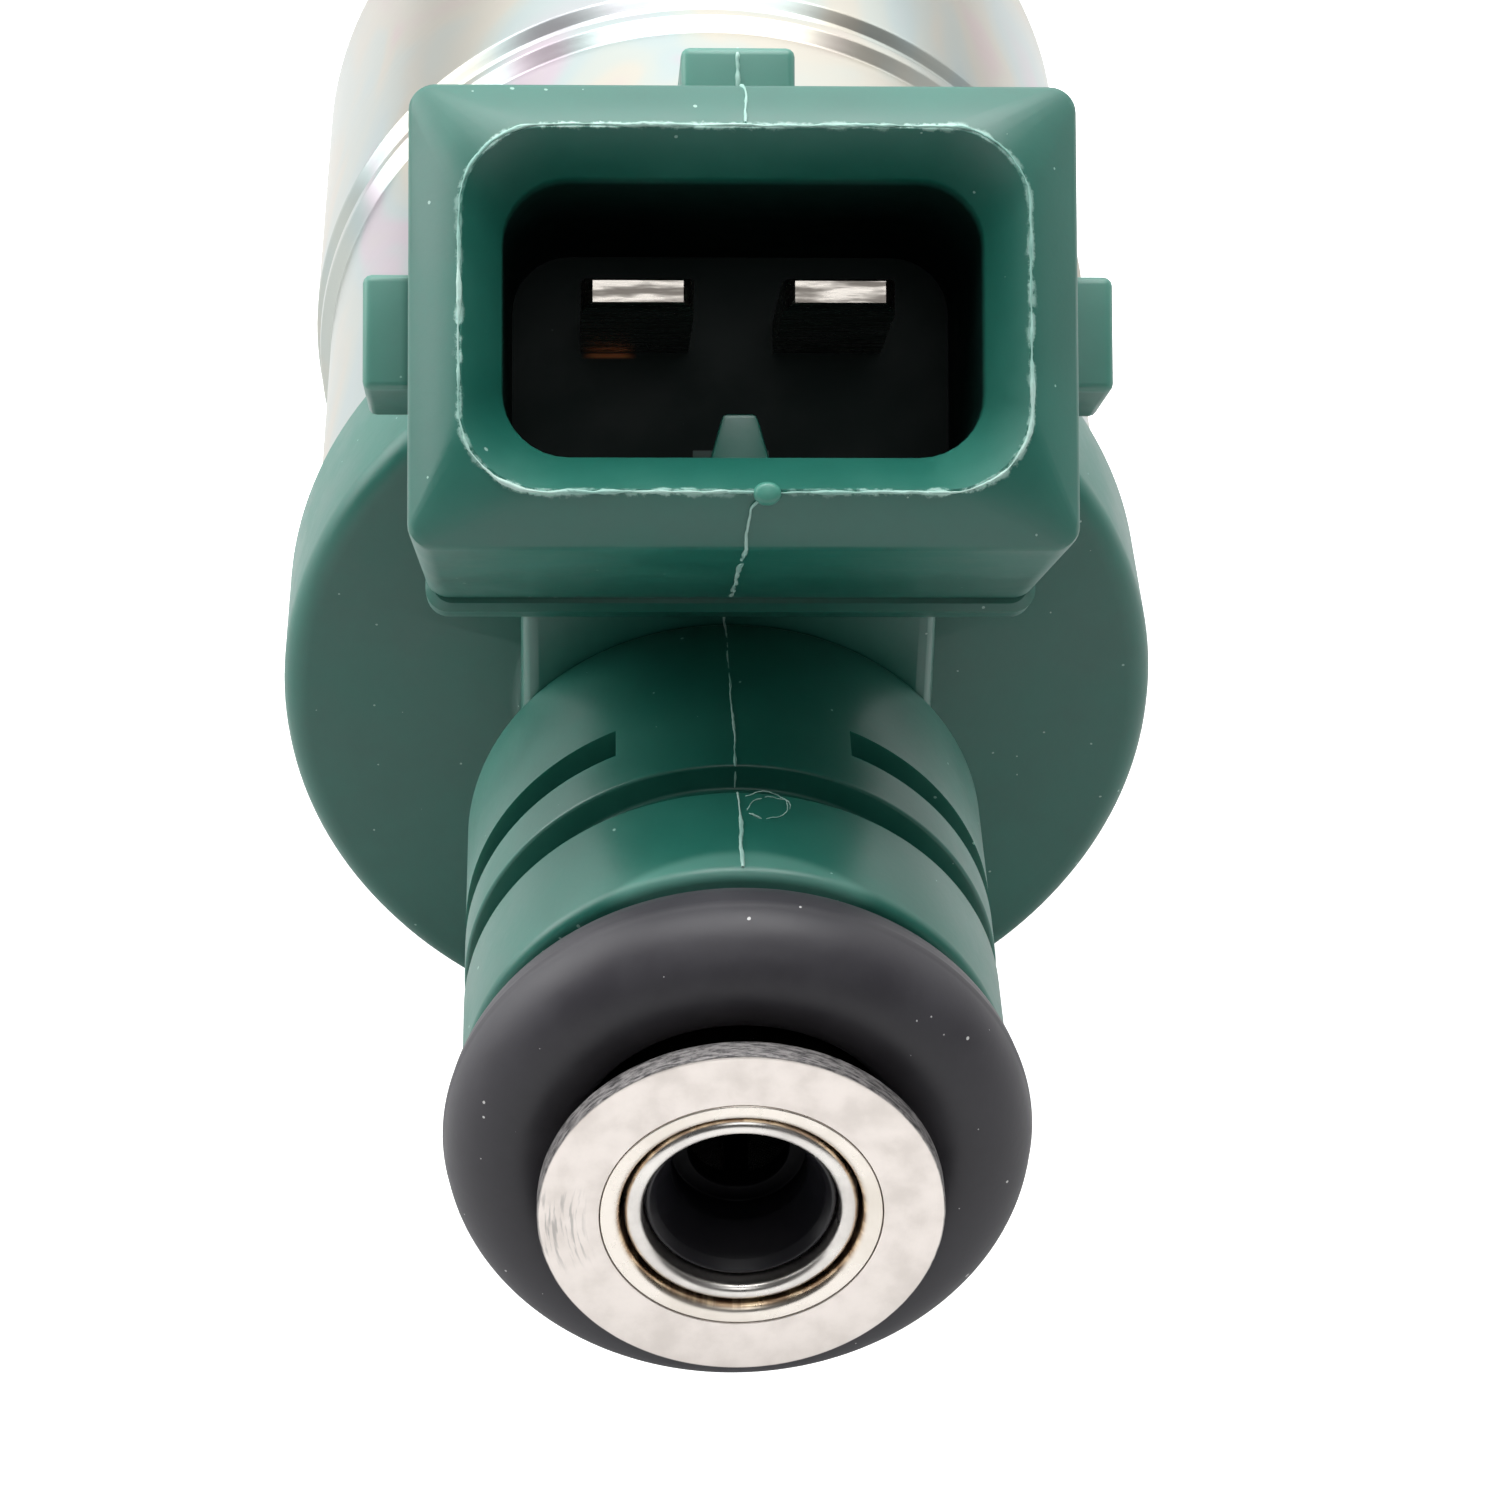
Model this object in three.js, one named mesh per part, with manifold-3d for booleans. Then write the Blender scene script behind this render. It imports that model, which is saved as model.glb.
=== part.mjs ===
// Fuel injector, classic top-feed pattern with a two-blade connector.
//
// Millimetres, +Z up. The injector lies along Y: the centre of the fuel inlet face is the origin,
// +Y runs down the axis to the nozzle, and the connector leans up and back over the inlet end.

import * as THREE from 'three';
import { mergeVertices } from 'three/addons/utils/BufferGeometryUtils.js';
import Module from 'manifold-3d';

const wasm = await Module();
wasm.setup();

// ---------------------------------------------------------------- clearances and fineness

const PRESS_GAP = 0.05; // between pieces that are pressed or seated together
const MOULD_GAP = 0.12; // between the moulding and the metal that it is moulded round
const SLIDE_GAP = 0.05; // round the needle's guide collars
const AIR_GAP = 0.2; // round the armature
const STACK_GAP = 0.1; // between pieces stacked along the axis, and beside an O-ring
const O_RING_PLAY = 0.04; // between the upper O-ring and the neck's front
const LIFT_SPARE = 0.06; // between the armature and the core at full lift
const OUTER_SIDES = 48; // sides of the moulding and the can
const SIDES = 40; // sides of any other turned piece
const SMALL_SIDES = 24; // sides of a small turned piece
const SEAL_SIDES = 32; // sides of an inner seal ring
const OVERCUT = 1; // how far a cutter runs past what it cuts

// ---------------------------------------------------------------- driving dimensions, along Y

const O_RING_SPACING = 60; // from one O-ring's centre to the other's
const RIM_THICKNESS = 0.65; // of the ring at the inlet
const COLLAR_FRONT = 4.8; // where the moulded neck begins
const CLIP_GROOVE_AT = 8.17;
const CLIP_GROOVE_WIDTH = 1.16;
const SIDE_SLOT_AT = 10.7;
const SIDE_SLOT_WIDTH = 1.1;
const NECK_BACK = 15.8; // where the neck narrows and the stem's front stands
const FLANGE_FRONT = 22.06;
const FLANGE_THICKNESS = 4.9;
const FILTER_FRONT = 0.5;
const FILTER_LENGTH = 14.7;
const FILTER_SPARE = 1.8; // how far the wide bore runs past the filter
const SLEEVE_DEPTH = 4; // from the bore's step to the adjusting sleeve
const SLEEVE_LENGTH = 12;
const CAN_INSERTION = 2.3; // how deep the can's mouth sits in the flange
const CAN_STEP_AT = 40.9;
const CAN_STEP_LENGTH = 1.1;
const COIL_LENGTH = 16.6; // of the bobbin, over its flanges
const CORE_PROUD = 0.3; // how far the core reaches past the bobbin
const POLE_LENGTH = 5; // of the can's inner collar round the armature
const SPRING_POCKET = 2.05; // the depth of the armature's front pocket
const STOP_PLATE_THICKNESS = 1.3;
const NOZZLE_FLANGE_LENGTH = 4.1;
const CRIMP_THICKNESS = 1.5;
const SHANK_LENGTH = 1.4; // of the nozzle body's shank past the can
const SHOULDER_LENGTH = 3.2; // from the can's full width to its crimped end
const NOZZLE_TIP_LENGTH = 12.14; // from the lower O-ring's centre to the cap's end
const NOZZLE_RECESS = 2.6; // how far the nozzle's end lies inside the cap
const ORIFICE_LENGTH = 2.2;
const NEEDLE_LIFT = 0.1;

// ---------------------------------------------------------------- driving dimensions, radii

const O_RING_SECTION = 1.7;
const O_RING_SEAT = 3.9;
const RIM_LIP = 1.1; // how far the inlet ring stands out past the O-ring's seat
const SPIGOT_STEP = 0.435; // from the seat down to the spigot that the ring is pressed on
const INLET_BORE = 2.98;
const FILTER_WALL = 0.46;
const CORE_STEP = 0.7; // from the seat up to the core inside the coil
const CORE_BORE = 2;
const NECK_RADIUS = 6.9;
const CLIP_GROOVE_DEPTH = 0.75;
const SIDE_SLOT_DEPTH = 0.9;
const SIDE_SLOT_START = 3; // the slots stop this far from the middle plane
const FLANGE_WALL = 0.65; // of the flange round the can's mouth
const FLANGE_ROUND = 0.65;
const CAN_RADIUS = 11.5;
const CAN_STEP = 0.5;
const CAN_WALL = 1.4;
const CRIMP_WALL = 0.9;
const NEEDLE_RADIUS = 1.4;
const GUIDE_RADIUS = 2;
const NOZZLE_FLANGE_RADIUS = 7.5;
const SHANK_STEP = 2; // from the lower O-ring's seat up to the nozzle body's shank
const ORIFICE_RADIUS = 0.75;
const CAP_WALL = 1.3;
const SPRING_RADIUS = 1.45;
const SPRING_WIRE = 0.22;
const SPRING_TURNS = 9;
const CORE_SEAL_SECTION = 0.78;
const BOBBIN_SEAL = { seat: 7.8, section: 0.62, room: 1.45 };
const BODY_SEAL = { section: 0.66, depth: 1.4, width: 1.45, front: 1.2 };

// ---------------------------------------------------------------- driving dimensions, connector

const CONNECTOR_TILT = THREE.MathUtils.degToRad(40.4); // from the axis, towards the inlet
const CONNECTOR_RISE = 11.99; // from the neck's top to the middle of the shroud's widest place
const CONNECTOR_FOOT = 1.6; // from the flange's front to where the middle line meets the blades' tails
const SHROUD = { halfWidth: 8.08, halfHeight: 5.67, corner: 0.5, depth: 11 };
const RIM = { halfWidth: 6.835, halfHeight: 4.427, corner: 2, proud: 1.1 };
const CAVITY = { halfWidth: 5.82, halfHeight: 3.4, corner: 1.6, mouth: 0.155, depth: 9.6, draft: 0.15 };
const REAR_LEDGE = { halfWidth: 7.9, drop: 0.35, length: 1.5 };
const SIDE_NUB = { reach: 1.22, halfHeight: 1.45, rise: 0.2, front: 3.4, length: 4.2 };
const TOP_NUB = { reach: 1.73, halfWidth: 1.42, front: 3.4, length: 4.2 };
const KEY_RIB = { top: 0.3, base: 1, height: 1.5, front: 3 };
const BLADE = { width: 2.8, thickness: 0.8, pitch: 5, height: 1.15, tip: 3, tailWidth: 1.6 };
const BLADE_TAIL_INSET = 1.9; // from the can's bore in to the tails' middle
const STEM_HALF_WIDTH = 5.45; // of the stem, and the radius of the neck under it

// ---------------------------------------------------------------- places that follow from them

const upperRingAt = COLLAR_FRONT - O_RING_SECTION - O_RING_PLAY;
const lowerRingAt = upperRingAt + O_RING_SPACING;
const rimRadius = O_RING_SEAT + RIM_LIP;
const spigotRadius = O_RING_SEAT - SPIGOT_STEP;
const filterRadius = INLET_BORE - 2 * PRESS_GAP;
const coreRadius = O_RING_SEAT + CORE_STEP;
const armatureRadius = coreRadius - PRESS_GAP;
const shankRadius = O_RING_SEAT + SHANK_STEP;
const capRadius = O_RING_SEAT + CAP_WALL;
const flangeRadius = CAN_RADIUS + FLANGE_WALL;
const canEndRadius = NOZZLE_FLANGE_RADIUS + CRIMP_WALL;
const flangeBack = FLANGE_FRONT + FLANGE_THICKNESS;
const canMouth = flangeBack - CAN_INSERTION;
const plateFront = canMouth + PRESS_GAP;
const plateBack = flangeBack + PRESS_GAP;
const bobbinFront = plateBack + STACK_GAP;
const bobbinBack = bobbinFront + COIL_LENGTH;
const coreEnd = bobbinBack + CORE_PROUD;
const canFloor = bobbinBack + BOBBIN_SEAL.room;
const canBore = CAN_RADIUS - CAN_WALL;
const poleEnd = canFloor + POLE_LENGTH;
const stopPlateFront = poleEnd + PRESS_GAP;
const stopPlateBack = stopPlateFront + STOP_PLATE_THICKNESS;
const nozzleFront = stopPlateBack + PRESS_GAP;
const nozzleFlangeBack = nozzleFront + NOZZLE_FLANGE_LENGTH;
const crimpFront = nozzleFlangeBack + STACK_GAP;
const canEnd = crimpFront + CRIMP_THICKNESS;
const shankEnd = canEnd + SHANK_LENGTH;
const seatSpan = O_RING_SECTION + STACK_GAP; // half the width of an O-ring's seat
const capFront = lowerRingAt + seatSpan;
const capEnd = lowerRingAt + NOZZLE_TIP_LENGTH;
const nozzleEnd = capEnd - NOZZLE_RECESS;
const filterBack = FILTER_FRONT + FILTER_LENGTH;
const boreStep = filterBack + FILTER_SPARE;
const sleeveFront = boreStep + SLEEVE_DEPTH;
const sleeveBack = sleeveFront + SLEEVE_LENGTH;
const armatureFront = coreEnd + NEEDLE_LIFT + LIFT_SPARE;
const armatureBack = poleEnd - 2 * AIR_GAP;
const springSeat = armatureFront + SPRING_POCKET;
const seatCone = nozzleEnd - ORIFICE_LENGTH;
const bladeTailHeight = canBore - BLADE_TAIL_INSET; // where the tails pass the end plate
const bladeTailEnd = bobbinFront + BLADE.thickness;
const connectorHeight = NECK_RADIUS + CONNECTOR_RISE;
const connectorReach = (connectorHeight - bladeTailHeight) / Math.tan(CONNECTOR_TILT);
const connectorAt = FLANGE_FRONT + CONNECTOR_FOOT - connectorReach;
const connectorCentre = new THREE.Vector3(0, connectorAt, connectorHeight);

// ---------------------------------------------------------------- materials

function finish(colour, roughness, metalness) {
  return new THREE.MeshStandardMaterial({ color: colour, roughness, metalness });
}

const stainless = finish(0xb9b7b2, 0.35, 1);
const zincPlate = finish(0xc9cbc6, 0.3, 1);
const softIron = finish(0x8b8d90, 0.5, 1);
const greenPlastic = finish(0x1f7257, 0.45, 0);
const blackPlastic = finish(0x17181a, 0.5, 0);
const bobbinPlastic = finish(0x6f5a3c, 0.5, 0);
const rubber = finish(0x2b292c, 0.7, 0);
const copper = finish(0xa5572b, 0.35, 1);
const tinnedBrass = finish(0xc8c4bb, 0.35, 1);
const springSteel = finish(0x9a9ca0, 0.3, 1);
const nylonMesh = finish(0xd8d2c0, 0.6, 0);

// ---------------------------------------------------------------- shapes

// Points along an arc about (cx, cy), from one angle to another, in degrees.
function arc(cx, cy, radius, from, to, steps) {
  const points = [];
  for (let i = 0; i <= steps; i++) {
    const angle = THREE.MathUtils.degToRad(from + ((to - from) * i) / steps);
    points.push([cx + radius * Math.cos(angle), cy + radius * Math.sin(angle)]);
  }
  return points;
}

// A piece turned about Y from a closed outline of [radius, y] points, in either sense.
function turned(outline, sides = SIDES) {
  const points = outline.map(([r, y]) => new THREE.Vector2(r, y));
  if (THREE.ShapeUtils.area(points) < 0) points.reverse();
  const open = points.findIndex((p, i) => p.x === 0 && points[(i + 1) % points.length].x === 0);
  const first = open < 0 ? 0 : open + 1;
  const ordered = [...points.slice(first), ...points.slice(0, first)];
  if (open < 0) ordered.push(ordered[0].clone());
  return new THREE.LatheGeometry(ordered, sides);
}

// A ring of rectangular section.
function washer(inner, outer, front, back, sides = SIDES) {
  return turned([[inner, front], [outer, front], [outer, back], [inner, back]], sides);
}

// An O-ring about Y, whose section has the given number of sides.
function oRing(seat, section, at, sides = SIDES, sectionSides = 12) {
  return turned(arc(seat + PRESS_GAP + section, at, section, 0, 360, sectionSides).slice(1), sides);
}

// A seal ring that is hidden inside.
function sealRing(seat, section, at) {
  return oRing(seat, section, at, SEAL_SIDES, 8);
}

// A plate drawn in side view as [y, z] points, centred on x, and as wide as given.
function sidePlate(outline, width, x = 0) {
  const shape = new THREE.Shape(outline.map(([y, z]) => new THREE.Vector2(y, z)));
  const plate = new THREE.ExtrudeGeometry(shape, { depth: width, bevelEnabled: false, steps: 1 });
  const axes = new THREE.Matrix4().makeBasis(
    new THREE.Vector3(0, 1, 0),
    new THREE.Vector3(0, 0, 1),
    new THREE.Vector3(1, 0, 0),
  );
  plate.applyMatrix4(axes.setPosition(x - width / 2, 0, 0));
  return plate;
}

// A box between two corners.
function block(low, high) {
  const box = new THREE.BoxGeometry(high[0] - low[0], high[1] - low[1], high[2] - low[2]);
  box.translate((low[0] + high[0]) / 2, (low[1] + high[1]) / 2, (low[2] + high[2]) / 2);
  return box;
}

// The outline of a rectangle with round corners, with the same number of points at any size.
function roundedOutline(halfWidth, halfHeight, corner) {
  const x = halfWidth - corner;
  const y = halfHeight - corner;
  const quarters = [[x, y, 0], [-x, y, 90], [-x, -y, 180], [x, -y, 270]];
  return quarters.flatMap(([cx, cy, from]) => arc(cx, cy, corner, from, from + 90, 4));
}

// A solid that passes through outlines at rising heights, each [[x, y], ...] with as many points.
function loft(outlines, heights) {
  const count = outlines[0].length;
  const positions = outlines.flatMap((ring, i) => ring.flatMap(([x, y]) => [x, y, heights[i]]));
  const index = [];
  for (let ring = 0; ring + 1 < outlines.length; ring++) {
    for (let i = 0; i < count; i++) {
      const a = ring * count + i;
      const b = ring * count + ((i + 1) % count);
      index.push(a, b, b + count, a, b + count, a + count);
    }
  }
  const last = (outlines.length - 1) * count;
  for (let i = 1; i + 1 < count; i++) {
    index.push(0, i + 1, i);
    index.push(last, last + i, last + i + 1);
  }
  const geometry = new THREE.BufferGeometry();
  geometry.setAttribute('position', new THREE.Float32BufferAttribute(positions, 3));
  geometry.setIndex(index);
  return geometry;
}

// ---------------------------------------------------------------- cutting and joining

// A solid for cutting and joining, from a closed geometry.
function solid(geometry) {
  const plain = geometry.clone();
  plain.deleteAttribute('normal');
  plain.deleteAttribute('uv');
  const merged = mergeVertices(plain, 1e-4);
  const corners = merged.index.array;
  const kept = [];
  for (let i = 0; i < corners.length; i += 3) {
    const [a, b, c] = corners.slice(i, i + 3);
    if (a !== b && b !== c && c !== a) kept.push(a, b, c);
  }
  const mesh = new wasm.Mesh({
    numProp: 3,
    vertProperties: new Float32Array(merged.attributes.position.array),
    triVerts: new Uint32Array(kept),
  });
  return new wasm.Manifold(mesh);
}

function geometryOf(manifold) {
  const mesh = manifold.getMesh();
  const geometry = new THREE.BufferGeometry();
  geometry.setAttribute('position', new THREE.BufferAttribute(mesh.vertProperties, 3));
  geometry.setIndex(new THREE.BufferAttribute(mesh.triVerts, 1));
  geometry.computeVertexNormals();
  return geometry;
}

// One geometry, joined with some and then cut by others.
function carved(base, joined, cut) {
  let result = solid(base);
  for (const piece of joined) result = result.add(solid(piece));
  for (const piece of cut) result = result.subtract(solid(piece));
  return geometryOf(result);
}

// ---------------------------------------------------------------- connector frame

// Local x runs across the connector, y up it and z out of its mouth.
const outward = new THREE.Vector3(0, -Math.cos(CONNECTOR_TILT), Math.sin(CONNECTOR_TILT));
const upward = new THREE.Vector3(0, Math.sin(CONNECTOR_TILT), Math.cos(CONNECTOR_TILT));
const connectorFrame = new THREE.Matrix4()
  .makeBasis(new THREE.Vector3(1, 0, 0), upward, outward)
  .setPosition(connectorCentre);

// A point of the connector's middle plane as [y, z], from its height and its place along z.
function inSideView(height, along) {
  const p = connectorCentre.clone().addScaledVector(upward, height).addScaledVector(outward, along);
  return [p.y, p.z];
}

// ---------------------------------------------------------------- fuel path pieces

function inletTube() {
  const lip = INLET_BORE + 0.12;
  return turned([
    [lip, 0],
    [spigotRadius, 0],
    [spigotRadius, RIM_THICKNESS + PRESS_GAP],
    [O_RING_SEAT, RIM_THICKNESS + PRESS_GAP],
    [O_RING_SEAT, canMouth + PRESS_GAP],
    [coreRadius, canMouth + PRESS_GAP],
    [coreRadius, coreEnd],
    [CORE_BORE, coreEnd],
    [CORE_BORE, boreStep],
    [INLET_BORE, boreStep],
    [INLET_BORE, 0.2],
  ]);
}

function inletFlangeRing() {
  const edge = 0.12;
  const bore = spigotRadius + PRESS_GAP;
  return turned([
    [bore, 0],
    [rimRadius - edge, 0],
    [rimRadius, edge],
    [rimRadius, RIM_THICKNESS],
    [bore, RIM_THICKNESS],
  ]);
}

function filterSleeve() {
  const half = FILTER_WALL / 2;
  const back = 4;
  return turned([
    ...arc(filterRadius - half, half + STACK_GAP, half, 180, 360, 6),
    [filterRadius, back],
    [filterRadius - FILTER_WALL, back],
  ], SMALL_SIDES);
}

const basketRadius = filterRadius - FILTER_WALL - PRESS_GAP;
const basketBore = 1.7;
const basketRing = FILTER_FRONT + 2.7; // the solid ring's back
const basketCap = filterBack - 1.2; // the closed end's front
const meshRadius = basketRadius - 0.1;
const meshWall = 0.12;

// A ring, four ribs and a closed end.
function filterBasket() {
  const ring = turned([
    [basketRadius - 0.2, FILTER_FRONT],
    [basketRadius, FILTER_FRONT + 0.2],
    [basketRadius, basketRing],
    [basketBore, basketRing],
    [basketBore, FILTER_FRONT + 0.9],
    [basketRadius - 0.35, FILTER_FRONT],
  ], SMALL_SIDES);
  const cap = turned([[0, basketCap], [basketRadius, basketCap], [basketRadius, filterBack], [0, filterBack]],
    SMALL_SIDES);
  const ribOuter = meshRadius - meshWall - PRESS_GAP;
  const ribInner = 1.25;
  const ribHalf = 0.3;
  const overlap = 0.2; // how far the ribs run into the ring and the closed end
  const ribs = [];
  for (let i = 0; i < 4; i++) {
    const rib = block([-ribHalf, basketRing - overlap, ribInner], [ribHalf, basketCap + overlap, ribOuter]);
    rib.rotateY((i * Math.PI) / 2);
    ribs.push(rib);
  }
  const ringBridge = washer(ribInner, basketBore + overlap, basketRing - 0.6, basketRing, SMALL_SIDES);
  return carved(ring, [ringBridge, cap, ...ribs], []);
}

function filterMesh() {
  const front = basketRing + PRESS_GAP;
  const back = basketCap - PRESS_GAP;
  return washer(meshRadius - meshWall, meshRadius, front, back, SMALL_SIDES);
}

// A rolled tube with a slot down its length.
function adjustingSleeve() {
  const outer = CORE_BORE - PRESS_GAP;
  const wall = 0.6;
  const half = 0.35; // of the slot's width
  const tube = washer(outer - wall, outer, sleeveFront, sleeveBack, SMALL_SIDES);
  const slot = block([-half, sleeveFront - OVERCUT, 0], [half, sleeveBack + OVERCUT, outer + OVERCUT]);
  return carved(tube, [], [slot]);
}

// A compression spring with closed ends between the adjusting sleeve and the needle's head.
function returnSpring() {
  const front = sleeveBack + PRESS_GAP + SPRING_WIRE;
  const back = springSeat - PRESS_GAP - SPRING_WIRE;
  const closed = 1 / SPRING_TURNS; // the share of the wire in each closed turn
  const closedPitch = 2.4 * SPRING_WIRE;
  const coils = new THREE.Curve();
  coils.getPoint = (t) => {
    const angle = 2 * Math.PI * SPRING_TURNS * t;
    const open = THREE.MathUtils.clamp((t - closed) / (1 - 2 * closed), 0, 1);
    const closing = closedPitch * (THREE.MathUtils.clamp(t / closed, 0, 1)
      + THREE.MathUtils.clamp((t - 1 + closed) / closed, 0, 1));
    const y = front + closing + (back - front - 2 * closedPitch) * open;
    return new THREE.Vector3(SPRING_RADIUS * Math.cos(angle), y, SPRING_RADIUS * Math.sin(angle));
  };
  const wire = new THREE.Shape().absarc(0, 0, SPRING_WIRE, 0, 2 * Math.PI);
  return new THREE.ExtrudeGeometry(wire, {
    steps: SPRING_TURNS * 12,
    curveSegments: 3,
    extrudePath: coils,
    bevelEnabled: false,
  });
}

// ---------------------------------------------------------------- solenoid pieces

const bobbinBore = coreRadius + PRESS_GAP;
const bobbinBarrel = bobbinBore + 0.8;
const bobbinRadius = canBore - AIR_GAP;
const bobbinCheek = 1;

function coilBobbin(bladeRooms) {
  const spool = turned([
    [bobbinBore, bobbinFront],
    [bobbinRadius, bobbinFront],
    [bobbinRadius, bobbinFront + bobbinCheek],
    [bobbinBarrel, bobbinFront + bobbinCheek],
    [bobbinBarrel, bobbinBack - bobbinCheek],
    [bobbinRadius, bobbinBack - bobbinCheek],
    [bobbinRadius, bobbinBack],
    [bobbinBore, bobbinBack],
  ]);
  return carved(spool, [], bladeRooms);
}

function coilWinding() {
  const front = bobbinFront + bobbinCheek + PRESS_GAP;
  const back = bobbinBack - bobbinCheek - PRESS_GAP;
  return washer(bobbinBarrel + PRESS_GAP, bobbinRadius - 0.6, front, back);
}

// The washer that closes the magnetic circuit, with a notch that the blades pass through.
function endPlate() {
  const plate = washer(coreRadius + PRESS_GAP, canBore - PRESS_GAP, plateFront, plateBack);
  const room = 3 * MOULD_GAP;
  const half = BLADE.pitch / 2 + BLADE.tailWidth / 2 + room;
  const low = bladeTailHeight - BLADE.thickness / 2 - room;
  const notch = block([-half, plateFront - OVERCUT, low], [half, plateBack + OVERCUT, CAN_RADIUS]);
  return carved(plate, [], [notch]);
}

// The drawn steel can: mouth, step, full width, shoulder, crimped end, and the pole inside.
function solenoidCan() {
  const wide = CAN_RADIUS + CAN_STEP;
  const shoulder = canEnd - SHOULDER_LENGTH;
  const shoulderRound = 1.6;
  const stepEnd = CAN_STEP_AT + CAN_STEP_LENGTH;
  const chamfer = 0.6;
  return turned([
    [canBore, canMouth],
    [CAN_RADIUS, canMouth],
    [CAN_RADIUS, CAN_STEP_AT - 0.3],
    [CAN_RADIUS + 0.7 * CAN_STEP, CAN_STEP_AT],
    [CAN_RADIUS + 0.7 * CAN_STEP, CAN_STEP_AT + 0.3],
    [CAN_RADIUS + 0.3 * CAN_STEP, CAN_STEP_AT + 0.55],
    [CAN_RADIUS + 0.45 * CAN_STEP, CAN_STEP_AT + 0.85],
    [wide, stepEnd],
    ...arc(wide - shoulderRound, shoulder, shoulderRound, 0, 60, 4),
    [canEndRadius, canEnd - chamfer],
    [canEndRadius - chamfer, canEnd],
    [shankRadius + PRESS_GAP, canEnd],
    [shankRadius + PRESS_GAP, crimpFront],
    [NOZZLE_FLANGE_RADIUS + PRESS_GAP, crimpFront],
    [NOZZLE_FLANGE_RADIUS + PRESS_GAP, poleEnd],
    [armatureRadius + AIR_GAP, poleEnd],
    [armatureRadius + AIR_GAP, canFloor],
    [canBore, canFloor],
  ], OUTER_SIDES);
}

const needleHead = NEEDLE_RADIUS + 0.2;

function armature() {
  const bore = needleHead + PRESS_GAP;
  const pocket = SPRING_RADIUS + SPRING_WIRE + AIR_GAP;
  const edge = 0.25;
  const body = turned([
    [pocket, armatureFront],
    [armatureRadius - edge, armatureFront],
    [armatureRadius, armatureFront + edge],
    [armatureRadius, armatureBack - edge],
    [armatureRadius - edge, armatureBack],
    [bore, armatureBack],
    [bore, springSeat],
    [pocket, springSeat],
  ], SMALL_SIDES);
  const holeRadius = 0.6;
  const holeCircle = 3.1;
  const holes = [];
  for (let i = 0; i < 4; i++) {
    const length = armatureBack - armatureFront + 2 * OVERCUT;
    const hole = new THREE.CylinderGeometry(holeRadius, holeRadius, length, 10);
    hole.translate(holeCircle, (armatureFront + armatureBack) / 2, 0);
    hole.rotateY(((i + 0.5) * Math.PI) / 2);
    holes.push(hole);
  }
  return carved(body, [], holes);
}

// ---------------------------------------------------------------- valve pieces

const shoulderRadius = GUIDE_RADIUS + 0.9;
const shoulderFront = stopPlateBack + NEEDLE_LIFT + 0.02;
const shoulderLength = 0.9;
const shoulderRoom = 1.5; // the nozzle body's counterbore, from the shoulder's front
const stopHole = NEEDLE_RADIUS + 0.9;

// The C-shaped shim that the needle's shoulder lifts against.
function stopPlate() {
  const disc = washer(stopHole, NOZZLE_FLANGE_RADIUS, stopPlateFront, stopPlateBack, SMALL_SIDES);
  const slot = block([-stopHole, stopPlateFront - OVERCUT, -NOZZLE_FLANGE_RADIUS - OVERCUT],
    [stopHole, stopPlateBack + OVERCUT, 0]);
  return carved(disc, [], [slot]);
}

// The ground needle: head, stop shoulder, two four-sided guide collars, cone and pintle.
function needle() {
  const coneLift = 0.04; // how far the cone stands off its seat
  const pintle = ORIFICE_RADIUS - 0.2;
  const coneStart = seatCone + (GUIDE_RADIUS + SLIDE_GAP) - NEEDLE_RADIUS - coneLift;
  const coneEnd = coneStart + NEEDLE_RADIUS - pintle;
  const flare = nozzleEnd + 0.6;
  const tip = flare + 0.8;
  const flareRadius = ORIFICE_RADIUS - 0.07;
  const shaft = turned([
    [0, springSeat + PRESS_GAP],
    [needleHead, springSeat + PRESS_GAP],
    [needleHead, shoulderFront],
    [shoulderRadius, shoulderFront],
    [shoulderRadius, shoulderFront + shoulderLength],
    [NEEDLE_RADIUS, shoulderFront + shoulderLength],
    [NEEDLE_RADIUS, coneStart],
    [pintle, coneEnd],
    [pintle, flare],
    [flareRadius, tip],
    [0, tip],
  ], SMALL_SIDES);
  const flats = GUIDE_RADIUS * 0.86;
  const length = 2.5;
  const collars = [nozzleFlangeBack - 1.5, seatCone - 4].map((front) => {
    const back = front + length;
    const collar = turned([[0, front], [GUIDE_RADIUS, front], [GUIDE_RADIUS, back], [0, back]], SMALL_SIDES);
    const square = block([-flats, front - OVERCUT, -flats], [flats, back + OVERCUT, flats]);
    return geometryOf(solid(collar).intersect(solid(square)));
  });
  return carved(shaft, collars, []);
}

function nozzleBody() {
  const bore = GUIDE_RADIUS + SLIDE_GAP;
  const grooveFront = nozzleFront + BODY_SEAL.front;
  const grooveBack = grooveFront + BODY_SEAL.width;
  const grooveFloor = NOZZLE_FLANGE_RADIUS - BODY_SEAL.depth;
  return turned([
    [shoulderRadius + AIR_GAP, nozzleFront],
    [NOZZLE_FLANGE_RADIUS, nozzleFront],
    [NOZZLE_FLANGE_RADIUS, grooveFront],
    [grooveFloor, grooveFront],
    [grooveFloor, grooveBack],
    [NOZZLE_FLANGE_RADIUS, grooveBack],
    [NOZZLE_FLANGE_RADIUS, nozzleFlangeBack],
    [shankRadius, nozzleFlangeBack],
    [shankRadius, shankEnd],
    [O_RING_SEAT, shankEnd],
    [O_RING_SEAT, nozzleEnd],
    [ORIFICE_RADIUS, nozzleEnd],
    [ORIFICE_RADIUS, seatCone + bore - ORIFICE_RADIUS],
    [bore, seatCone],
    [bore, shoulderFront + shoulderRoom],
    [shoulderRadius + AIR_GAP, shoulderFront + shoulderRoom],
  ]);
}

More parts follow.
